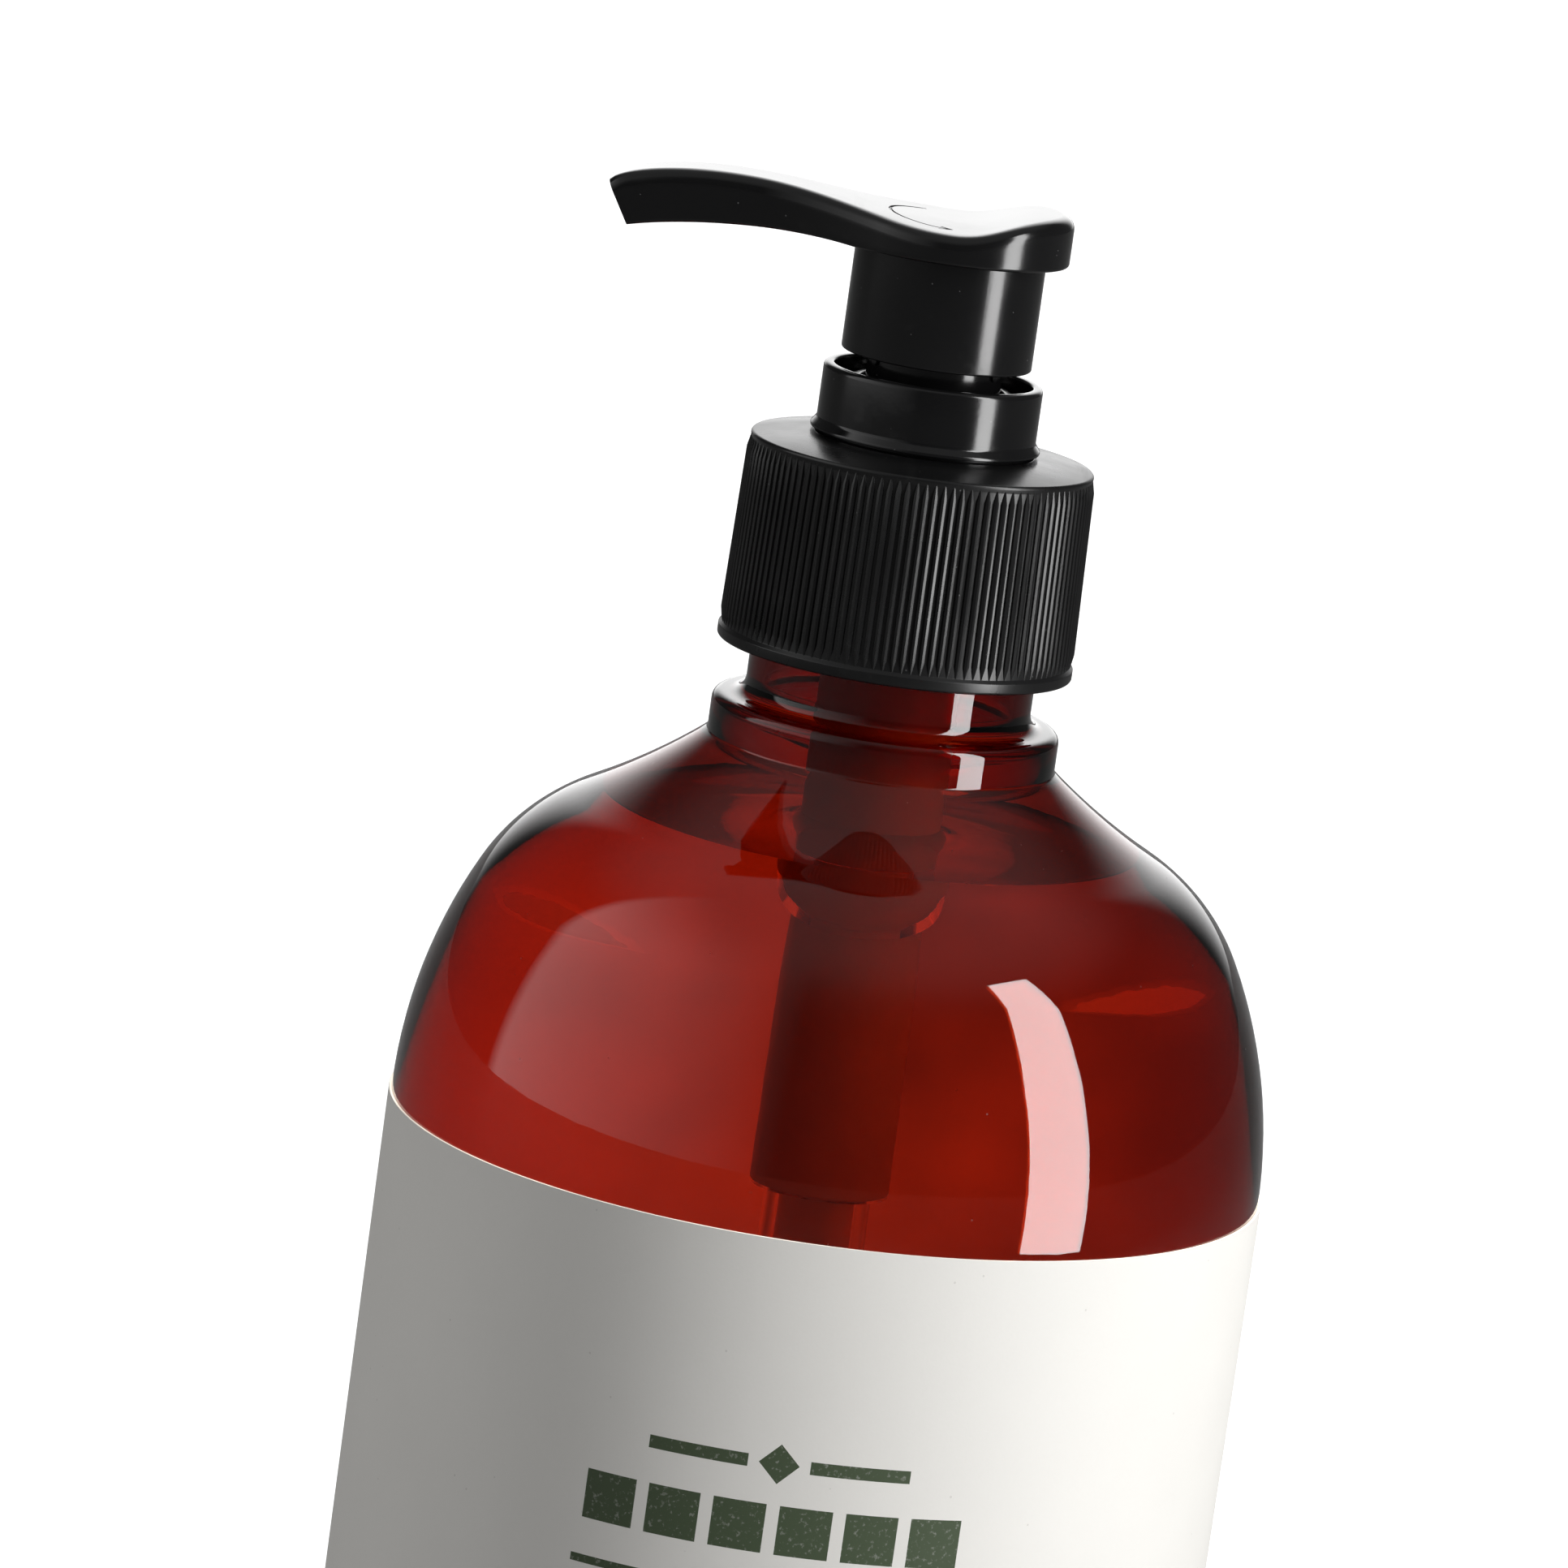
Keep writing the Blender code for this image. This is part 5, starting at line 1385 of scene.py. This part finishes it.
class PUMPBOTTLE_OT_head(Operator):
    """Saddle-topped head with its spout, skirt, sleeve, bores and engraved arrow."""

    bl_idname = "pumpbottle.head"
    bl_label = "Head"

    def execute(self, context):
        sizes = settings()[0]
        look = once(black_gloss_finish)
        head = head_shell()
        tucked = UNDERSIDE + HEAD_TUCK
        web_low = UNDERSIDE - HEAD_WEB
        skirt = turned("head_skirt", rounded([
            (SKIRT_BORE, tucked, 0),
            (SKIRT_RADIUS, tucked, 0),
            (SKIRT_RADIUS, SKIRT_LOW, 0.2 * MM),
            (SKIRT_BORE, SKIRT_LOW, 0.15 * MM),
            (SKIRT_BORE, SKIRT_LOW + MM, 0),
        ], 4), look, sizes.turn_steps, closed=True)
        sleeve = turned("head_sleeve", [
            (0.0, tucked + 0.1 * MM),
            ((SKIRT_BORE + SKIRT_RADIUS) / 2, tucked + 0.1 * MM),
            ((SKIRT_BORE + SKIRT_RADIUS) / 2, web_low),
            (SLEEVE_RADIUS, web_low),
            (SLEEVE_RADIUS, SLEEVE_LOW),
            (0.0, SLEEVE_LOW),
        ], look, sizes.narrow_steps)
        lugs = []
        for index in range(LUG_COUNT):
            turn = 2 * pi * (index + 0.5) / LUG_COUNT - pi / 2
            ray = Vector((cos(turn), sin(turn), 0.0))
            start = ray * (SLEEVE_RADIUS - LUG_SIZE) + Vector((0.0, 0.0, LUG_LEVEL))
            end = start + ray * (LUG_SIZE + LUG_REACH)
            lugs.append(rod_along(f"lug_{index + 1}", [start, end], LUG_SIZE / 2, 4))
        head = combine(head, [skirt, sleeve] + lugs, 'UNION')
        bore = turned("head_bore", [
            (0.0, OUTLET_ROOM_TOP),
            (OUTLET_ROOM_RADIUS, OUTLET_ROOM_TOP),
            (OUTLET_ROOM_RADIUS, STEM_TOP),
            (STEM_SOCKET_RADIUS, STEM_TOP),
            (STEM_SOCKET_RADIUS, STEM_TOP - STEM_SOCKET),
            (SLEEVE_BORE, STEM_TOP - STEM_SOCKET),
            (SLEEVE_BORE, SLEEVE_LOW - MM),
            (0.0, SLEEVE_LOW - MM),
        ], look, sizes.narrow_steps)
        channel = rod_along("spout_channel", channel_route(), CHANNEL_RADIUS, 6)
        strokes = [
            rod_along(f"stroke_{index + 1}", line, ENGRAVING_WIDTH, 2)
            for index, line in enumerate(engraved_strokes())]
        head = combine(head, [bore, channel], 'DIFFERENCE')
        for stroke in strokes:
            head = combine(head, [stroke], 'DIFFERENCE')
        place_piece(head, "head", "black_gloss_plastic", "actuator_head")
        return {'FINISHED'}


# ---------------------------------------------------------------- stage

# Brightness of the studio's parts, and their edges in degrees round from the front or in slope
BEHIND_LIGHT = 1.9
LEFT_LIGHT = 1.4
ABOVE_LIGHT = 0.25
FRONT_LIGHT = 0.05
THROUGH_SHARE = 0.35
STRIP_TURN = radians(62)
STRIP_DISTANCE = 0.45
STRIP_WIDTH = 0.14
STRIP_LOW = 0.01
STRIP_HIGH = 0.62
BEHIND_EDGE = (150.0, 174.0)
LEFT_EDGE = (-103.0, -99.0)
LEFT_FADE = (-98.0, -12.0)
ABOVE_EDGE = (0.55, 0.95)
BACKDROP = 1.05
# How strongly the floor glows to the camera, by the distance from the bottle's axis: from, to, near, far;
# the glow is weaker near the bottle, so the floor is darker there
FLOOR_SHADE = (0.05, 0.17, 0.55, 1.0)
# Painted light of the floor for rays that came through the bottle, by distance from its axis: from, to,
# near; far is THROUGH_SHARE
FLOOR_THROUGH = (0.2, 0.5, 1.1)


def studio_world():
    """World light: white to the camera; for other rays a soft studio that is brighter behind and above."""
    world = bpy.data.worlds.new("studio")
    bpy.context.scene.world = world
    world.use_nodes = True
    tree = world.node_tree
    tree.nodes.clear()
    way = tree.nodes.new("ShaderNodeTexCoord").outputs["Generated"]
    split = add_node(tree, "ShaderNodeSeparateXYZ", Vector=way)
    x, y, z = split.outputs
    azimuth = times(
        tree, math_node(tree, 'ARCTAN2', x, times(tree, y, -1.0)), 180 / pi)
    turned_away = math_node(tree, 'ABSOLUTE', azimuth)
    behind = remap(tree, turned_away, *BEHIND_EDGE, 0.0, 1.0, smooth=True)
    left = times(
        tree, remap(tree, azimuth, *LEFT_EDGE, 0.0, 1.0),
        remap(tree, azimuth, *LEFT_FADE, 1.0, 0.0))
    above = remap(tree, z, *ABOVE_EDGE, 0.0, 1.0, smooth=True)
    total = math_node(
        tree, 'ADD', times(tree, behind, BEHIND_LIGHT),
        times(tree, left, LEFT_LIGHT))
    total = times(tree, total, math_node(tree, 'SUBTRACT', 1.0, above))
    total = math_node(tree, 'ADD', total, times(tree, above, ABOVE_LIGHT))
    total = math_node(tree, 'ADD', total, FRONT_LIGHT)
    path = tree.nodes.new("ShaderNodeLightPath").outputs
    through = remap(tree, path["Is Transmission Ray"], 0.0, 1.0, 1.0, THROUGH_SHARE)
    total = times(tree, total, through)
    strength = add_node(tree, "ShaderNodeMix", data_type='FLOAT')
    tree.links.new(path["Is Camera Ray"], strength.inputs[0])
    tree.links.new(total, strength.inputs[2])
    strength.inputs[3].default_value = BACKDROP
    light = add_node(tree, "ShaderNodeBackground", Strength=strength.outputs[0])
    light.inputs["Color"].default_value = (1.0, 1.0, 1.0, 1.0)
    out = tree.nodes.new("ShaderNodeOutputWorld")
    tree.links.new(light.outputs[0], out.inputs["Surface"])


def floor_material():
    """Pale floor that glows plain white to the camera away from the object; for rays that came through the
    bottle it glows as painted light, brightest near the bottle.
    """
    made, tree, shader = bare_material("pale_floor", Base_Color=(0.24, 0.24, 0.238), Roughness=0.6)
    place = tree.nodes.new("ShaderNodeTexCoord").outputs["Object"]
    far = add_node(tree, "ShaderNodeVectorMath", operation='LENGTH')
    tree.links.new(place, far.inputs[0])
    reach = remap(tree, far.outputs["Value"], *FLOOR_SHADE, smooth=True)
    path = tree.nodes.new("ShaderNodeLightPath").outputs
    # Painted light: the floor glows for rays that came through the bottle and soap
    fading = remap(tree, far.outputs["Value"], *FLOOR_THROUGH, THROUGH_SHARE)
    through = times(tree, path["Is Transmission Ray"], fading)
    seen = times(tree, path["Is Camera Ray"], reach)
    tree.links.new(math_node(tree, 'MAXIMUM', seen, through), shader.inputs["Emission Strength"])
    shader.inputs["Emission Color"].default_value = (1.0, 1.0, 1.0, 1.0)
    return made


def add_light(name, place, target, width, height, power):
    """A soft rectangular light that the camera doesn't see."""
    data = bpy.data.lights.new(name, 'AREA')
    data.shape = 'RECTANGLE'
    data.size = width
    data.size_y = height
    data.energy = power
    light = bpy.data.objects.new(name, data)
    bpy.context.scene.collection.objects.link(light)
    light.location = place
    light.rotation_euler = (Vector(target) - Vector(place)).to_track_quat('-Z', 'Y').to_euler()
    light.visible_camera = False


class PUMPBOTTLE_OT_stage(Operator):
    """Pale floor, studio light and the camera."""

    bl_idname = "pumpbottle.stage"
    bl_label = "Stage"

    def execute(self, context):
        stage = context.scene.pump_bottle_stage
        edit = bmesh.new()
        bmesh.ops.create_circle(edit, cap_ends=True, segments=96, radius=6.0)
        mesh = bpy.data.meshes.new("studio_floor")
        edit.to_mesh(mesh)
        edit.free()
        mesh.materials.append(floor_material())
        link_mesh("studio_floor", mesh)
        studio_world()
        place = Vector((sin(STRIP_TURN), -cos(STRIP_TURN), 0.0)) * STRIP_DISTANCE
        middle = (STRIP_LOW + STRIP_HIGH) / 2
        place.z = middle
        add_light(
            "right_strip", place, (0.0, 0.0, middle), STRIP_WIDTH, STRIP_HIGH - STRIP_LOW, stage.strip_power)
        camera = bpy.data.objects.new("camera", bpy.data.cameras.new("camera"))
        context.scene.collection.objects.link(camera)
        camera.data.lens = stage.lens
        camera.data.sensor_width = 36.0
        camera.data.clip_start = 0.05
        camera.data.clip_end = 50.0
        forward = Vector((
            sin(stage.yaw) * cos(stage.pitch), cos(stage.yaw) * cos(stage.pitch), -sin(stage.pitch)))
        right = Vector((cos(stage.yaw), -sin(stage.yaw), 0.0))
        up = right.cross(forward)
        rolled_right = right * cos(stage.roll) + up * sin(stage.roll)
        rolled_up = up * cos(stage.roll) - right * sin(stage.roll)
        facing = Matrix((rolled_right, rolled_up, -forward)).transposed()
        camera.location = (0.0, -stage.distance, stage.height)
        camera.rotation_euler = facing.to_euler()
        context.scene.camera = camera
        context.scene.view_settings.view_transform = 'Standard'
        return {'FINISHED'}


# ---------------------------------------------------------------- panel and registration

class PUMPBOTTLE_PT_panel(Panel):
    """Lists the pieces of the pump bottle and their settings."""

    bl_label = "Pump Bottle"
    bl_idname = "PUMPBOTTLE_PT_panel"
    bl_space_type = 'VIEW_3D'
    bl_region_type = 'UI'
    bl_category = "Pump Bottle"

    def draw(self, context):
        layout = self.layout
        for operator in OPERATORS:
            layout.operator(operator.bl_idname)
        for name in GROUPS:
            group = getattr(context.scene, name)
            box = layout.box()
            for label in group.bl_rna.properties.keys():
                if label not in ("rna_type", "name"):
                    box.prop(group, label)


OPERATORS = (
    PUMPBOTTLE_OT_stage,
    PUMPBOTTLE_OT_bottle,
    PUMPBOTTLE_OT_label,
    PUMPBOTTLE_OT_soap,
    PUMPBOTTLE_OT_closure,
    PUMPBOTTLE_OT_collar,
    PUMPBOTTLE_OT_housing,
    PUMPBOTTLE_OT_spring,
    PUMPBOTTLE_OT_inner,
    PUMPBOTTLE_OT_head,
)
GROUPS = {
    "pump_bottle_sizes": PUMPBOTTLE_PG_sizes,
    "pump_bottle_colours": PUMPBOTTLE_PG_colours,
    "pump_bottle_stage": PUMPBOTTLE_PG_stage,
}


def register():
    """Register the settings, the operators and the panel."""
    for name, group in GROUPS.items():
        bpy.utils.register_class(group)
        setattr(bpy.types.Scene, name, PointerProperty(type=group))
    for operator in OPERATORS:
        bpy.utils.register_class(operator)
    bpy.utils.register_class(PUMPBOTTLE_PT_panel)


def unregister():
    """Take the panel, the operators and the settings away again."""
    bpy.utils.unregister_class(PUMPBOTTLE_PT_panel)
    for operator in reversed(OPERATORS):
        bpy.utils.unregister_class(operator)
    for name, group in reversed(GROUPS.items()):
        delattr(bpy.types.Scene, name)
        bpy.utils.unregister_class(group)


def main():
    """Build every piece and the stage."""
    register()
    for operator in OPERATORS:
        area, action = operator.bl_idname.split(".")
        getattr(getattr(bpy.ops, area), action)()


if __name__ == "__main__":
    main()
